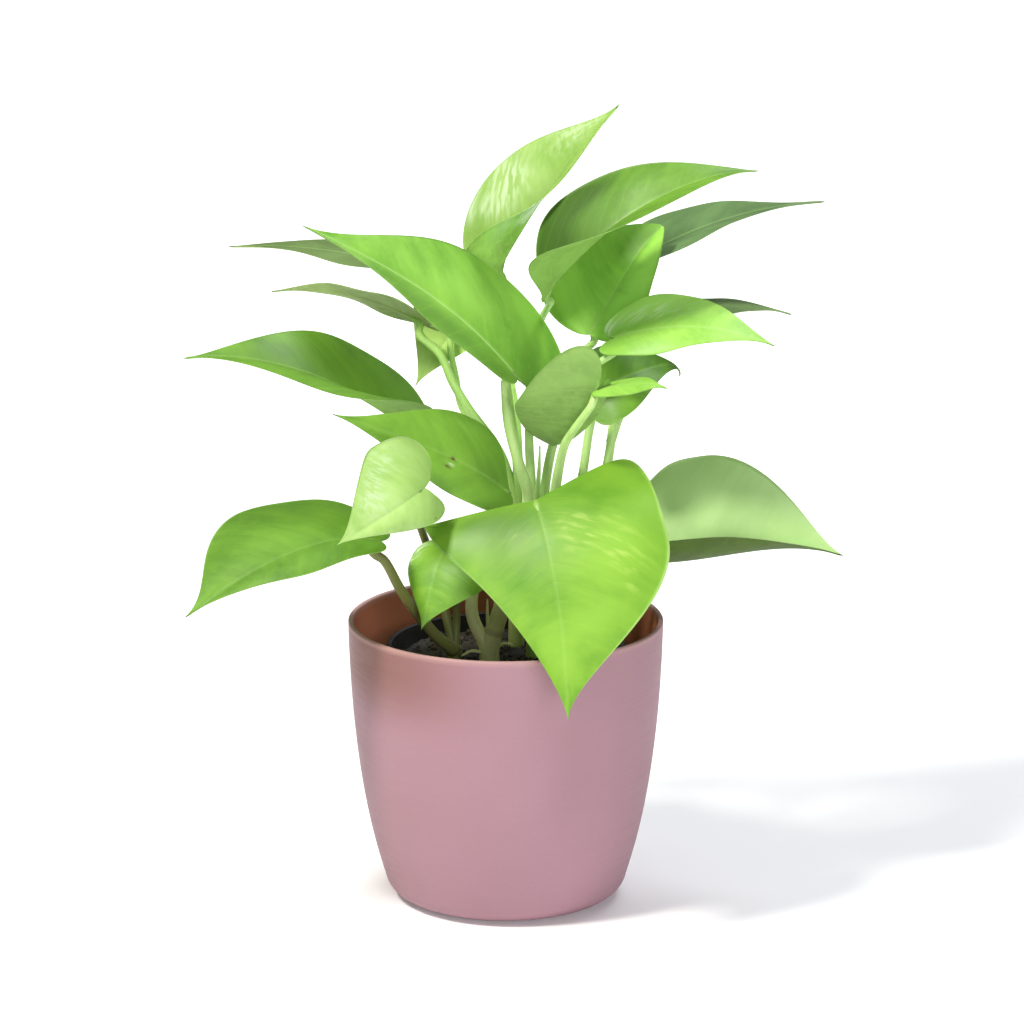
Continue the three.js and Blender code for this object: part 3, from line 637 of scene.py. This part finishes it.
# The right lobe of leaf_centre is turned over, like a small blade of its own.
CENTRE_LOBE = dict(
    base=(35, -30.5, 207), tip=(60, -40, 209.5), half=(9, 9), widest=(0.45, 0.45), rise=10, fall=20,
    roll=10, curl=(-10, -10), wave=0, tone="fresh",
)


def half_outline(blade, half, u):
    """Half of the flat outline: x in blade lengths, y in half widths."""
    reach, shoulder, widest = blade.lobe[half], blade.shoulder[half], blade.widest[half]
    lobe = [(0, 0), (-reach * (1 - shoulder), 0.1 + shoulder), (-reach, 1), (widest, 1)]
    point = [(widest, 1), (widest + 0.3, 1), (blade.taper, 0.06), (1, 0)]
    return np.where((u < 0.5)[..., None], bezier(lobe, 2 * u), bezier(point, 2 * u - 1))


class Blade:
    """The part's own bent sheet, at any fineness."""

    def __init__(self, **values):
        self.__dict__.update({**BLADE_DEFAULTS, **values})
        self.half = tuple(width - MARGIN_TRIM for width in self.half)
        base, tip = np.array(self.base, float), np.array(self.tip, float)
        along = unit(tip - base)
        side = unit(np.cross(UP, along))
        roll = np.radians(self.roll)
        self.side = side * np.cos(roll) + np.cross(along, side) * np.sin(roll)
        up = np.cross(along, self.side)
        reach = np.linalg.norm(tip - base) * 0.36

        def direction(lift, turn):
            lifted = along + up * np.tan(np.radians(lift)) + self.side * np.tan(np.radians(turn))
            return unit(lifted) * reach

        start = base + direction(self.rise, self.bow[0])
        end = tip - direction(-self.fall, -self.bow[1])
        self.midrib = [base, start, end, tip]
        line = bezier(self.midrib, np.linspace(0, 1, 201))
        self.length = np.linalg.norm(np.diff(line, axis=0), axis=1).sum()

    def frame(self, share):
        at = np.maximum(share, 0)
        steps = [3 * (b - a) for a, b in zip(self.midrib, self.midrib[1:])]
        tangent = unit(bezier(steps, at))
        point = bezier(self.midrib, at) + tangent * (np.minimum(share, 0) * self.length)[..., None]
        left = self.side - tangent * (tangent @ self.side)[..., None]
        left = unit(left)
        return point, left, np.cross(tangent, left)

    def surface(self, u, across):
        """Points of the middle surface, how far along the blade each is, and how far out in mm."""
        share = np.zeros(u.shape)
        offset = np.zeros(u.shape)
        rise = np.zeros(u.shape)
        width = np.zeros(u.shape)
        for half, side in ((0, 1), (1, -1)):
            here = across >= 0 if side > 0 else across < 0
            v = np.abs(across)
            outline = half_outline(self, half, u)
            s = u ** MIDRIB_POWER * (1 - v) + outline[..., 0] * v
            reach = outline[..., 1] * v
            fade = np.exp(-((np.maximum(s, 0) / CUP_FADE) ** 2))
            fold = np.radians(self.fold[half] + self.cup[half] * fade)
            curl = np.radians(self.curl[half] or 0.01)
            radius = self.half[half] / curl
            out = radius * (np.sin(fold + curl * reach) - np.sin(fold))
            ripple = self.wave * reach ** 2 * np.sin(2 * np.pi * (1.7 * s + 0.3 * half))
            lift = radius * (np.cos(fold) - np.cos(fold + curl * reach)) + ripple
            share = np.where(here, s, share)
            offset = np.where(here, side * out, offset)
            rise = np.where(here, lift, rise)
            width = np.where(here, reach * self.half[half], width)
        point, left, normal = self.frame(share)
        return point + left * offset[..., None] + normal * rise[..., None], share, width


def sheet_faces(rows, columns):
    """Faces of a grid whose first and last rows are one point each, anticlockwise from above."""
    last = 1 + (rows - 1) * (columns + 1)

    def index(row, column):
        if row == 0:
            return 0
        return last if row == rows else 1 + (row - 1) * (columns + 1) + column

    faces = []
    for row in range(rows):
        for column in range(columns):
            corners = (
                index(row, column), index(row, column + 1),
                index(row + 1, column + 1), index(row + 1, column),
            )
            faces.append(tuple(dict.fromkeys(corners)))
    rim_left = [index(row, 0) for row in range(rows + 1)]
    rim_right = [index(row, columns) for row in range(rows + 1)]
    return faces, rim_left, rim_right


def doubled(values):
    """The same values for a blade's upper and lower face."""
    return np.concatenate([values, values])


def add_blade(build, blade, seed, rows=BLADE_ROWS, half_columns=BLADE_COLUMNS):
    columns = 2 * half_columns
    steps = np.linspace(-1, 1, columns + 1)
    spread = np.sign(steps) * np.abs(steps) ** COLUMN_CROWDING
    row_share = np.linspace(0, 1, rows + 1)
    u = np.concatenate([[0.0], np.repeat(row_share[1:-1], columns + 1), [1.0]])
    across = np.concatenate([[0.0], np.tile(-spread, rows - 1), [0.0]])
    points, share, width = blade.surface(u, across)
    faces, rim_left, rim_right = sheet_faces(rows, columns)

    normals = np.zeros(points.shape)
    for face in faces:
        a, b, c = (points[i] for i in face[:3])
        across_face = np.cross(b - a, c - a)
        for i in face:
            normals[i] += across_face
    normals = unit(normals)

    v = np.abs(across)
    out = width / max(blade.half)
    q = share - out * (VEIN_LEAN + VEIN_BEND * out)
    q = np.where(q > 0, q, q * VEIN_FAN / (out + VEIN_FAN))
    inner = np.sin(np.pi * np.clip(v, 0, 1)) * np.sin(np.pi * np.clip(u, 0, 1)) ** 0.5
    quilt = -VEIN_QUILT * np.cos(2 * np.pi * VEINS * q) * inner
    bumps = np.array([noise.noise(Vector(p / WAVE_SIZE + seed * 3.1)) for p in points])
    relief = quilt + SURFACE_WAVES * bumps * smooth(v, 0.0, 0.5) * (1 - v ** 6)
    rib = np.exp(-((width / RIB_WIDTH) ** 2)) * (1 - 0.8 * u)
    rib[[0, -1]] = 0
    edge = 1 - EDGE_THINNING * v ** 8
    edge[[0, -1]] = 1 - EDGE_THINNING
    half_thickness = BLADE_THICKNESS / 2 * edge
    upper = points + normals * (relief + half_thickness - RIB_GROOVE * rib)[:, None]
    lower = points + normals * (relief - half_thickness - RIB_RIDGE * rib)[:, None]

    under = len(points)
    all_faces = list(faces)
    maps = []
    flat_x = MAP_MARGIN + MAP_WIDTH * (1 - across) / 2
    flat = np.stack([flat_x, MAP_MARGIN + 0.98 * u], 1)
    for face in faces:
        maps.extend(flat[i] for i in face)
    for face in faces:
        all_faces.append(tuple(under + i for i in reversed(face)))
        maps.extend(flat[i] + (MAP_SHIFT, 0) for i in reversed(face))
    for rim, shift, flip in ((rim_left, -MAP_RIM, False), (rim_right, MAP_RIM, True)):
        for a, b in zip(rim, rim[1:]):
            quad = (b, a, under + a, under + b)
            corner = [flat[b], flat[a], flat[a] + (shift, 0), flat[b] + (shift, 0)]
            if flip:
                quad, corner = quad[::-1], corner[::-1]
            all_faces.append(quad)
            maps.extend(corner)
    marks = np.zeros((len(points), 4))
    for kind, centre_u, centre_v, size_u, size_v, strength in blade.marks:
        near = np.exp(-(((u - centre_u) / size_u) ** 2) - ((across - centre_v) / size_v) ** 2)
        marks[:, kind] += strength * near
    build.add(np.concatenate([upper, lower]), all_faces, {
        "vein": doubled(q),
        "across": doubled(across),
        "rib": doubled(blade.pale_rib * np.exp(-((width / 0.6) ** 2)) * (1 - 0.7 * u)),
        "under": np.concatenate([np.zeros(under), np.ones(under)]),
        "seed": np.full(2 * under, float(seed)),
        "marks": doubled(marks),
    }, maps)


# Stems and petioles

# Each rooted stem: its trunk line from the foot up with radii, then its petioles, each with the
# blade it ends at, its radii and the line up to its blade. Sprouts end in a point.
STEMS = {
    "stem_left": dict(
        trunk=[(-20, 3, STEM_FOOT), (-20, 3, 98)], radii=(3.2, 2.8),
        petioles=[
            ("leaf_left_low", (2.3, 1.7), [
                (-20, 2, 96.5), (-26, -4, 103), (-33, -12, 114), (-40, -20, 127), (-46, -26, 140),
            ]),
            ("leaf_young_front", (1.7, 1.2), [
                (-20, 4, 97), (-24, 8, 112), (-29, 9, 132), (-34, 2, 150), (-33, -16, 160),
                (-29, -33, 165),
            ]),
            ("leaf_front_small", (1.6, 1.2), [(-19.5, 4, 97), (-19, 6, 110), (-19.5, 4, 127)]),
        ],
        sprouts=[],
    ),
    "stem_centre": dict(
        trunk=[(-6, -1, STEM_FOOT), (-6, -1, 99), (-2, -2, 113), (3, -2, 133)], radii=(4.2, 2.7),
        petioles=[
            ("leaf_left_centre", (2.7, 1.6), [(-6.5, -1, 97), (-13, 0, 112), (-9, 0, 134), (0, -5, 150)]),
            ("leaf_front", (2.3, 1.6), [(2, -2, 128), (5, -10, 139), (9, -26, 151)]),
            ("leaf_upper_left", (2.6, 1.6), [
                (3, -2, 131), (7, -4, 148), (8.5, -6, 160), (5, -9, 173), (1, -9, 189), (0, -6, 200),
            ]),
        ],
        sprouts=[
            ((1.3, 0.3), [(-6, -2, 101), (-7, -3.5, 112), (-7, -4, 118.5)]),
            ((0.8, 0.5), [(-5, -1, 96), (-1, -1.5, 100), (3, -1, 99)]),
            ((0.8, 0.5), [(-7, -2, 96), (-13, -3, 97.5), (-17, -3, 95.5)]),
        ],
    ),
    "stem_back": dict(
        trunk=[(4, 21, STEM_FOOT), (4, 21, 98), (4, 16, 125), (5, 12, 150)], radii=(3.2, 2.4),
        petioles=[
            ("leaf_left", (1.8, 1.3), [(5, 12, 147), (-2, 14, 165), (-16, 17, 171), (-28, 23, 173)]),
            ("leaf_back_left_low", (2.1, 1.5), [
                (5, 12, 148), (-2, 13, 171), (-14, 13, 189), (-20, 14, 199), (-25, 15, 210),
            ]),
            ("leaf_back_left", (1.5, 1.1), [
                (5, 12, 146), (-4, 20, 169), (-17, 22, 188), (-19, 22, 199), (-21, 23.5, 209),
                (-22, 27, 219), (-25, 30, 230),
            ]),
            ("leaf_back_hanging", (1.5, 1.2), [
                (5, 13, 146), (5, 22, 170), (3, 32, 190), (-2, 40, 210), (-4, 43, 223),
            ]),
            ("leaf_top", (1.9, 1.3), [
                (5, 12, 149), (4, 13, 172), (2, 14, 186), (0, 18, 201), (-2, 23, 216), (-4, 27, 229),
            ]),
        ],
        sprouts=[],
    ),
    "stem_right": dict(
        trunk=[(11, 6, STEM_FOOT), (11, 6, 98), (12.5, 4.5, 112), (14, 3, 126)], radii=(3.4, 2.7),
        petioles=[
            ("leaf_top_right", (2, 1.2), [
                (13, 3, 120), (11, 0, 145), (10, 2, 160), (9, 12, 177), (9, 20, 194), (10, 24, 207),
                (13, 25, 220), (16, 17, 228),
            ]),
            ("leaf_right_upper", (2, 1.4), [
                (14, 3, 122), (15, 4, 145), (15, 4, 159), (18, 8, 176), (21, 13, 183), (27, 20, 199),
                (30, 23.5, 209),
            ]),
            ("leaf_right", (1.6, 1.3), [(20, 11, 180), (24, 7, 191), (27, -3, 201), (33, -10, 211)]),
            ("leaf_centre", (2.4, 1.3), [
                (14, 2, 120), (16, -4, 134), (19, -10, 164), (22, -18, 182), (25, -24, 189),
                (30, -31, 198),
            ]),
            ("leaf_centre_back", (2, 1.6), [
                (14, 4, 117), (22, 4, 132), (29, 4, 164), (32, 4, 184), (34, 2, 192),
            ]),
            ("leaf_right_back", (2, 1.3), [
                (14, 5, 115), (29, 8, 131), (39, 8, 169), (41, 10, 184), (43, 20, 196), (45, 36, 212),
                (46, 43, 227),
            ]),
            ("leaf_right_far", (1.5, 1.3), [(40, 9, 177), (46, 18, 191), (52, 28, 205), (55, 33, 216)]),
            ("leaf_right_low", (2.2, 1.6), [(12, 6, 100), (29, 8, 115), (43, 4, 127)]),
        ],
        sprouts=[
            ((1.5, 0.3), [(11, 0, 150), (12.5, -0.5, 165), (13, -1, 178)]),
        ],
    ),
}


def smooth_line(points, step):
    """Points at even steps along a centripetal Catmull-Rom curve."""
    p = [np.array(q, float) for q in points]
    p = [2 * p[0] - p[1], *p, 2 * p[-1] - p[-2]]
    line = []
    t = np.linspace(0, 1, 40, endpoint=False)[:, None]
    for a, b, c, d in zip(p, p[1:], p[2:], p[3:]):
        gaps = [np.sqrt(np.linalg.norm(y - x)) for x, y in ((a, b), (b, c), (c, d))]
        g0, g1, g2 = gaps
        out = g1 * ((b - a) / g0 - (c - a) / (g0 + g1) + (c - b) / g1)
        back = g1 * ((c - b) / g1 - (d - b) / (g1 + g2) + (d - c) / g2)
        square = 3 * (c - b) - 2 * out - back
        cube = 2 * (b - c) + out + back
        line.append(b + out * t + square * t ** 2 + cube * t ** 3)
    line = np.concatenate([*line, p[-2][None]])
    far = np.concatenate([[0], np.cumsum(np.linalg.norm(np.diff(line, axis=0), axis=1))])
    count = max(3, int(np.ceil(far[-1] / step)))
    at = np.linspace(0, far[-1], count + 1)
    return np.stack([np.interp(at, far, line[:, k]) for k in range(3)], 1), at


def add_tube(build, points, radii, petiole=False, nodes=()):
    """A tapering stalk. A petiole flares at its base, is channelled above and has a sheath's wings,
    and its far end thins into the rib under its blade."""
    line, far = smooth_line(points, TUBE_STEP)
    left = far[-1] - far
    share = far / (far[-1] - PETIOLE_RUN * petiole)
    radius = radii[0] + (radii[1] - radii[0]) * np.minimum(share, 1)
    scar = np.zeros(len(line))
    if petiole:
        radius = radius * (1 + 0.25 * np.exp(-((far / 5) ** 2)) + 0.06 * np.exp(-(((left - 10) / 3) ** 2)))
        radius = RIB_RADIUS + (radius - RIB_RADIUS) * smooth(left, 0, PETIOLE_RUN)
    for place in nodes:
        ring = np.exp(-(((far - place) / 0.8) ** 2))
        radius = radius + 0.3 * ring
        scar = np.maximum(scar, ring)
    tangent = unit(np.gradient(line, axis=0))
    chord = unit(line[-1] - line[0])
    if petiole:
        normal = UP - chord * chord[2]
    else:
        normal = UP if abs(tangent[0] @ UP) < 0.99 else np.array([0.0, -1.0, 0.0])
    angles = np.linspace(-np.pi, np.pi, TUBE_SIDES, endpoint=False)
    channel = np.exp(-((angles / 0.42) ** 2))
    wings = np.exp(-(((np.abs(angles) - 0.75) / 0.2) ** 2))
    rings, edges = [], []
    for i, centre in enumerate(line):
        normal = unit(normal - tangent[i] * (normal @ tangent[i]))
        other = np.cross(tangent[i], normal)
        shape = np.ones(TUBE_SIDES)
        wing = np.zeros(TUBE_SIDES)
        if petiole:
            sheath = smooth(share[i], 0.02, 0.12) * (1 - smooth(share[i], 0.45, 0.62))
            wing = wings * sheath
            shape = 1 - channel * (0.06 + 0.08 * sheath) + 0.12 * wing
        around = normal * np.cos(angles)[:, None] + other * np.sin(angles)[:, None]
        rings.append(centre + around * (radius[i] * shape)[:, None])
        edges.append(wing)
    grid = np.concatenate([*rings, line[:1], line[-1:]])
    sides = TUBE_SIDES
    faces = []
    for ring in range(len(line) - 1):
        for side in range(sides):
            a, b = ring * sides + side, ring * sides + (side + 1) % sides
            faces.append((a, b, b + sides, a + sides))
    first, last = len(line) * sides, (len(line) - 1) * sides
    for side in range(sides):
        nxt = (side + 1) % sides
        faces.append((first, nxt, side))
        faces.append((first + 1, last + side, last + nxt))

    def spread(values):
        return np.concatenate([np.repeat(values, sides), values[:1], values[-1:]])

    build.add(grid, faces, {
        "knee": spread(smooth(PETIOLE_RUN + KNEE_LENGTH - left, 0, PETIOLE_RUN) * petiole),
        "scar": spread(scar),
        "edge": np.concatenate([np.concatenate(edges), [0, 0]]),
    })


def petiole_end(blade, start, radius):
    """The petiole bends up to the underside of its blade, then runs on as the rib below it."""
    point, _, normal = blade.frame(np.array(PETIOLE_INSET / blade.length))
    arrival = unit(unit(point - start) + normal * KNEE_LIFT)
    tilt = np.sqrt(1 - (arrival @ normal) ** 2)
    end = point - normal * (PETIOLE_REACH + radius * tilt)
    on, _, on_normal = blade.frame(np.array((PETIOLE_INSET + PETIOLE_RUN) / blade.length))
    return [end - arrival * KNEE_LENGTH, end, on - on_normal * RIB_SINK]


# Soil


def soil_height(x, y):
    return SOIL_TOP + 0.6 * np.sin(0.31 * x + 1) * np.cos(0.27 * y) + 0.45 * np.sin(0.19 * x - 0.37 * y)


def nursery_radius(height):
    share = (height - NURSERY_FOOT) / (NURSERY_TOP - NURSERY_FOOT)
    return NURSERY_BASE_RADIUS + share * (NURSERY_RIM_RADIUS - 1 - NURSERY_BASE_RADIUS)


def rough(x, y, z=0.0):
    p = Vector((x, y, z))
    return 0.9 * noise.noise(p / 4.2) + 0.6 * noise.noise(p / 1.7) + 0.3 * noise.noise(p / 0.8)


STEM_HOLES = [(*stem["trunk"][0][:2], stem["radii"][0] + HOLE_GAP) for stem in STEMS.values()]


def soil():
    build = Build()
    top_radius = nursery_radius(SOIL_TOP) - SOIL_INSET
    profile = [(0, SOIL_BOTTOM), (nursery_radius(SOIL_BOTTOM) - SOIL_INSET, SOIL_BOTTOM)]
    for share in np.linspace(0.25, 0.75, 3):
        height = SOIL_BOTTOM + share * (SOIL_TOP - SOIL_BOTTOM)
        profile.append((nursery_radius(height) - SOIL_INSET, height))
    profile += [(top_radius * ring / SOIL_RINGS, SOIL_TOP) for ring in range(SOIL_RINGS, -1, -1)]
    points, faces = turned(profile, SOIL_SPOKES)
    points = np.array(points)
    for i, (x, y, z) in enumerate(points):
        if z < SOIL_TOP:
            continue
        top = soil_height(x, y) + rough(x, y)
        for hole_x, hole_y, radius in STEM_HOLES:
            if np.hypot(x - hole_x, y - hole_y) < radius:
                top = STEM_FOOT - 0.3
        points[i, 2] = top
    build.add(points, faces, {"tint": np.zeros(len(points))})
    ball = bpy.data.meshes.new("crumb_shape")
    bm = bmesh.new()
    bmesh.ops.create_icosphere(bm, subdivisions=2, radius=1.0)
    bm.to_mesh(ball)
    bm.free()
    shape = np.array([v.co for v in ball.vertices])
    ball_faces = [tuple(p.vertices) for p in ball.polygons]
    bpy.data.meshes.remove(ball)
    for number in range(SOIL_CRUMBS + SOIL_FIBRES):
        fibre = number >= SOIL_CRUMBS
        size = 0.35 + 1.25 * random.random() ** 2.5
        stretch = random.uniform(0.6, 1.3, 3) * size
        if fibre:
            stretch = np.array([random.uniform(1.8, 3.6), 0.34, 0.3])
        reach = top_radius - 0.6 - stretch.max()
        distance, turn = reach * np.sqrt(random.random()), random.uniform(0, 2 * np.pi)
        x, y = distance * np.cos(turn), distance * np.sin(turn)
        axes, _ = np.linalg.qr(random.normal(size=(3, 3)))
        if fibre:
            axes, _ = np.linalg.qr(np.diag([1, 1, 1]) + random.normal(size=(3, 3)) * [[1], [1], [0.2]])
        wobble = np.array([1 + 0.35 * noise.noise(Vector(p * 1.3 + number)) for p in shape])
        tint = random.random() ** 3 * 0.9 if not fibre else random.uniform(0.5, 1.0)
        if min(np.hypot(x - hx, y - hy) - r for hx, hy, r in STEM_HOLES) < stretch.max():
            continue
        centre = np.array([x, y, soil_height(x, y) + rough(x, y) + 0.3 * stretch.min()])
        build.add(centre + (shape * wobble[:, None] * stretch) @ axes.T, ball_faces,
                  {"tint": np.full(len(shape), tint)})
    build.make("soil_surface", soil_material(), "potting_soil")


# Pots


def outer_pot():
    corner = bezier(POT_CORNER, np.linspace(0, 1, 14))
    side = bezier(POT_SIDE, np.linspace(0, 1, 60))
    outside = [*corner, *side[1:-1]]
    middle = POT_RIM_RADIUS - POT_WALL / 2
    lip_angles = np.linspace(0, np.pi, 12)
    lip = [
        (middle + POT_WALL / 2 * np.cos(a), POT_HEIGHT - POT_WALL / 2 + POT_WALL / 2 * np.sin(a))
        for a in lip_angles
    ]
    below_lip = POT_HEIGHT - POT_WALL / 2 - 0.3
    above_corner = POT_INNER_CORNER[0][1]
    outside = [p for p in outside if p[1] < below_lip]
    wall = [(r - POT_WALL, h) for r, h in side[::-1] if above_corner <= h < below_lip]
    inner_corner = bezier(POT_INNER_CORNER, np.linspace(0, 1, 10))[1:]
    profile = [(0, 0), *outside, *lip, *wall, *inner_corner, (0, POT_FLOOR)]
    profile = [(float(r), float(h)) for r, h in profile]
    first_inside = 1 + len(outside) + len(lip) - 1
    points, faces = turned(profile, POT_FACETS)
    inside, rim = [], []
    for i, (radius, height) in enumerate(profile):
        count = 1 if radius == 0 else POT_FACETS
        inside += [1.0 if i >= first_inside else 0.0] * count
        rim += [float(smooth(np.array(height), POT_HEIGHT - 1.6, POT_HEIGHT - 0.7))] * count
    build = Build()
    build.add(points, faces, {"inside": inside, "rim": rim})
    build.make("outer_pot", pot_material(), "pot")


def nursery_pot():
    lip_bottom = NURSERY_TOP - NURSERY_LIP
    floor = NURSERY_FOOT + NURSERY_WALL
    inner_top = nursery_radius(NURSERY_TOP) - NURSERY_WALL
    profile = [
        (0, NURSERY_FOOT),
        (NURSERY_BASE_RADIUS - 0.4, NURSERY_FOOT),
        (NURSERY_BASE_RADIUS, NURSERY_FOOT + 0.4),
        (nursery_radius(lip_bottom), lip_bottom),
        (NURSERY_RIM_RADIUS - 0.3, lip_bottom),
        (NURSERY_RIM_RADIUS, lip_bottom + 0.3),
        (NURSERY_RIM_RADIUS, NURSERY_TOP - 0.5),
        (NURSERY_RIM_RADIUS - 0.2, NURSERY_TOP - 0.12),
        (NURSERY_RIM_RADIUS - 0.5, NURSERY_TOP),
        (inner_top + 0.4, NURSERY_TOP),
        (inner_top + 0.1, NURSERY_TOP - 0.12),
        (inner_top, NURSERY_TOP - 0.5),
        (nursery_radius(floor) - NURSERY_WALL, floor),
        (0, floor),
    ]
    build = Build()
    build.add(*turned(profile, NURSERY_FACETS))
    pot = build.make("nursery_pot_shell", nursery_material(), "nursery_pot")
    cutters = Build()
    for i in range(DRAIN_HOLES):
        angle = 2 * np.pi * i / DRAIN_HOLES
        points, faces = turned([(0, -2), (DRAIN_RADIUS, -2), (DRAIN_RADIUS, 4), (0, 4)], 32)
        x, y = DRAIN_CIRCLE * np.cos(angle), DRAIN_CIRCLE * np.sin(angle)
        cutters.add(np.array(points) + (x, y, NURSERY_FOOT), faces)
    mesh = bpy.data.meshes.new("drain_cutters")
    mesh.from_pydata((np.concatenate(cutters.points) * MM).tolist(), [], cutters.faces)
    cutter = bpy.data.objects.new("drain_cutters", mesh)
    bpy.context.scene.collection.objects.link(cutter)
    cut = pot.modifiers.new("drain", "BOOLEAN")
    cut.operation = "DIFFERENCE"
    cut.solver = "EXACT"
    cut.object = cutter
    depsgraph = bpy.context.evaluated_depsgraph_get()
    drained = bpy.data.meshes.new_from_object(pot.evaluated_get(depsgraph))
    pot.modifiers.clear()
    pot.data = drained
    bpy.data.objects.remove(cutter)
    sharp = pot.modifiers.new("edges", "EDGE_SPLIT")
    sharp.split_angle = np.radians(50)


# The whole plant

leaf_materials = {}
for number, (name, values) in enumerate(BLADES.items()):
    blade = Blade(**values)
    key = (blade.tone, blade.gloss)
    if key not in leaf_materials:
        leaf_materials[key] = leaf_material(*key)
    build = Build()
    add_blade(build, blade, number)
    build.make(name + "_blade", leaf_materials[key], name)

lobe = Build()
add_blade(lobe, Blade(**CENTRE_LOBE), len(BLADES), rows=40, half_columns=12)
lobe.make("leaf_centre_lobe", leaf_material(CENTRE_LOBE["tone"]), "leaf_centre")

for name, stem in STEMS.items():
    build = Build()
    trunk_length = np.linalg.norm(np.diff(np.array(stem["trunk"], float), axis=0), axis=1).sum()
    add_tube(build, stem["trunk"], stem["radii"], nodes=(trunk_length * 0.45, trunk_length * 0.9))
    for target, radii, line in stem["petioles"]:
        end = petiole_end(Blade(**BLADES[target]), np.array(line[-1], float), radii[1])
        add_tube(build, [*line, *end], radii, petiole=True)
    for radii, line in stem["sprouts"]:
        add_tube(build, line, radii)
    build.make(name + "_stalks", stem_material(name), name)

soil()
outer_pot()
nursery_pot()

# Floor, light and camera


def floor():
    s = Shade("floor_pale")
    colour = s.mix(s.noise(s.place(), 3.0, 2.0), linear(243, 243, 242), linear(247, 247, 246))
    distance = s.node("VectorMath", {0: s.place()}, operation="LENGTH").outputs["Value"]
    glow = s.step(distance, 0.15, 1.2, NEAR_GLOW, FAR_GLOW)
    shader = s.node("BsdfPrincipled", {
        "Base Color": colour, "Roughness": 0.9, "Specular IOR Level": 0.1,
        "Emission Color": (1.0, 1.0, 1.0, 1.0), "Emission Strength": glow,
    })
    material = s.surface(shader.outputs[0])
    points, faces = turned([(9000, 0), (4500, 0), (1500, 0), (0, 0)], 96)
    mesh = bpy.data.meshes.new("floor")
    mesh.from_pydata((np.array(points) * MM).tolist(), [], faces)
    mesh.materials.append(material)
    made = bpy.data.objects.new("floor", mesh)
    bpy.context.scene.collection.objects.link(made)


def area_light(name, place, target, size, power, colour):
    light = bpy.data.lights.new(name, "AREA")
    light.shape = "DISK"
    light.size = size
    light.energy = power
    light.color = colour
    made = bpy.data.objects.new(name, light)
    made.location = place
    made.rotation_mode = "QUATERNION"
    made.rotation_quaternion = (Vector(target) - Vector(place)).to_track_quat("-Z", "Y")
    bpy.context.scene.collection.objects.link(made)


floor()
area_light("key", (-0.9, -0.65, 1.75), MIDDLE, 0.4, 44.0, (1.0, 0.96, 0.9))
area_light("fill", (0.55, -1.85, 0.6), MIDDLE, 0.7, 13.0, (0.88, 0.9, 1.0))
area_light("top", (0.6, 0.4, 1.8), MIDDLE, 0.9, 22.0, (0.92, 0.95, 1.0))

world = bpy.data.worlds.new("studio")
world.use_nodes = True
world.node_tree.nodes["Background"].inputs["Color"].default_value = (0.97, 0.98, 1.0, 1.0)
world.node_tree.nodes["Background"].inputs["Strength"].default_value = WORLD_STRENGTH
bpy.context.scene.world = world
bpy.context.scene.view_settings.view_transform = "Standard"

camera_data = bpy.data.cameras.new("camera")
camera_data.sensor_width = SENSOR
camera_data.lens = FOCAL_PIXELS / IMAGE_SIZE * SENSOR
camera_data.clip_end = 50.0
camera = bpy.data.objects.new("camera", camera_data)
camera.location = Vector(CAMERA_PLACE) * MM
camera.rotation_mode = "QUATERNION"
camera.rotation_quaternion = (Vector(CAMERA_TARGET) - Vector(CAMERA_PLACE)).to_track_quat("-Z", "Y")
bpy.context.scene.collection.objects.link(camera)
bpy.context.scene.camera = camera
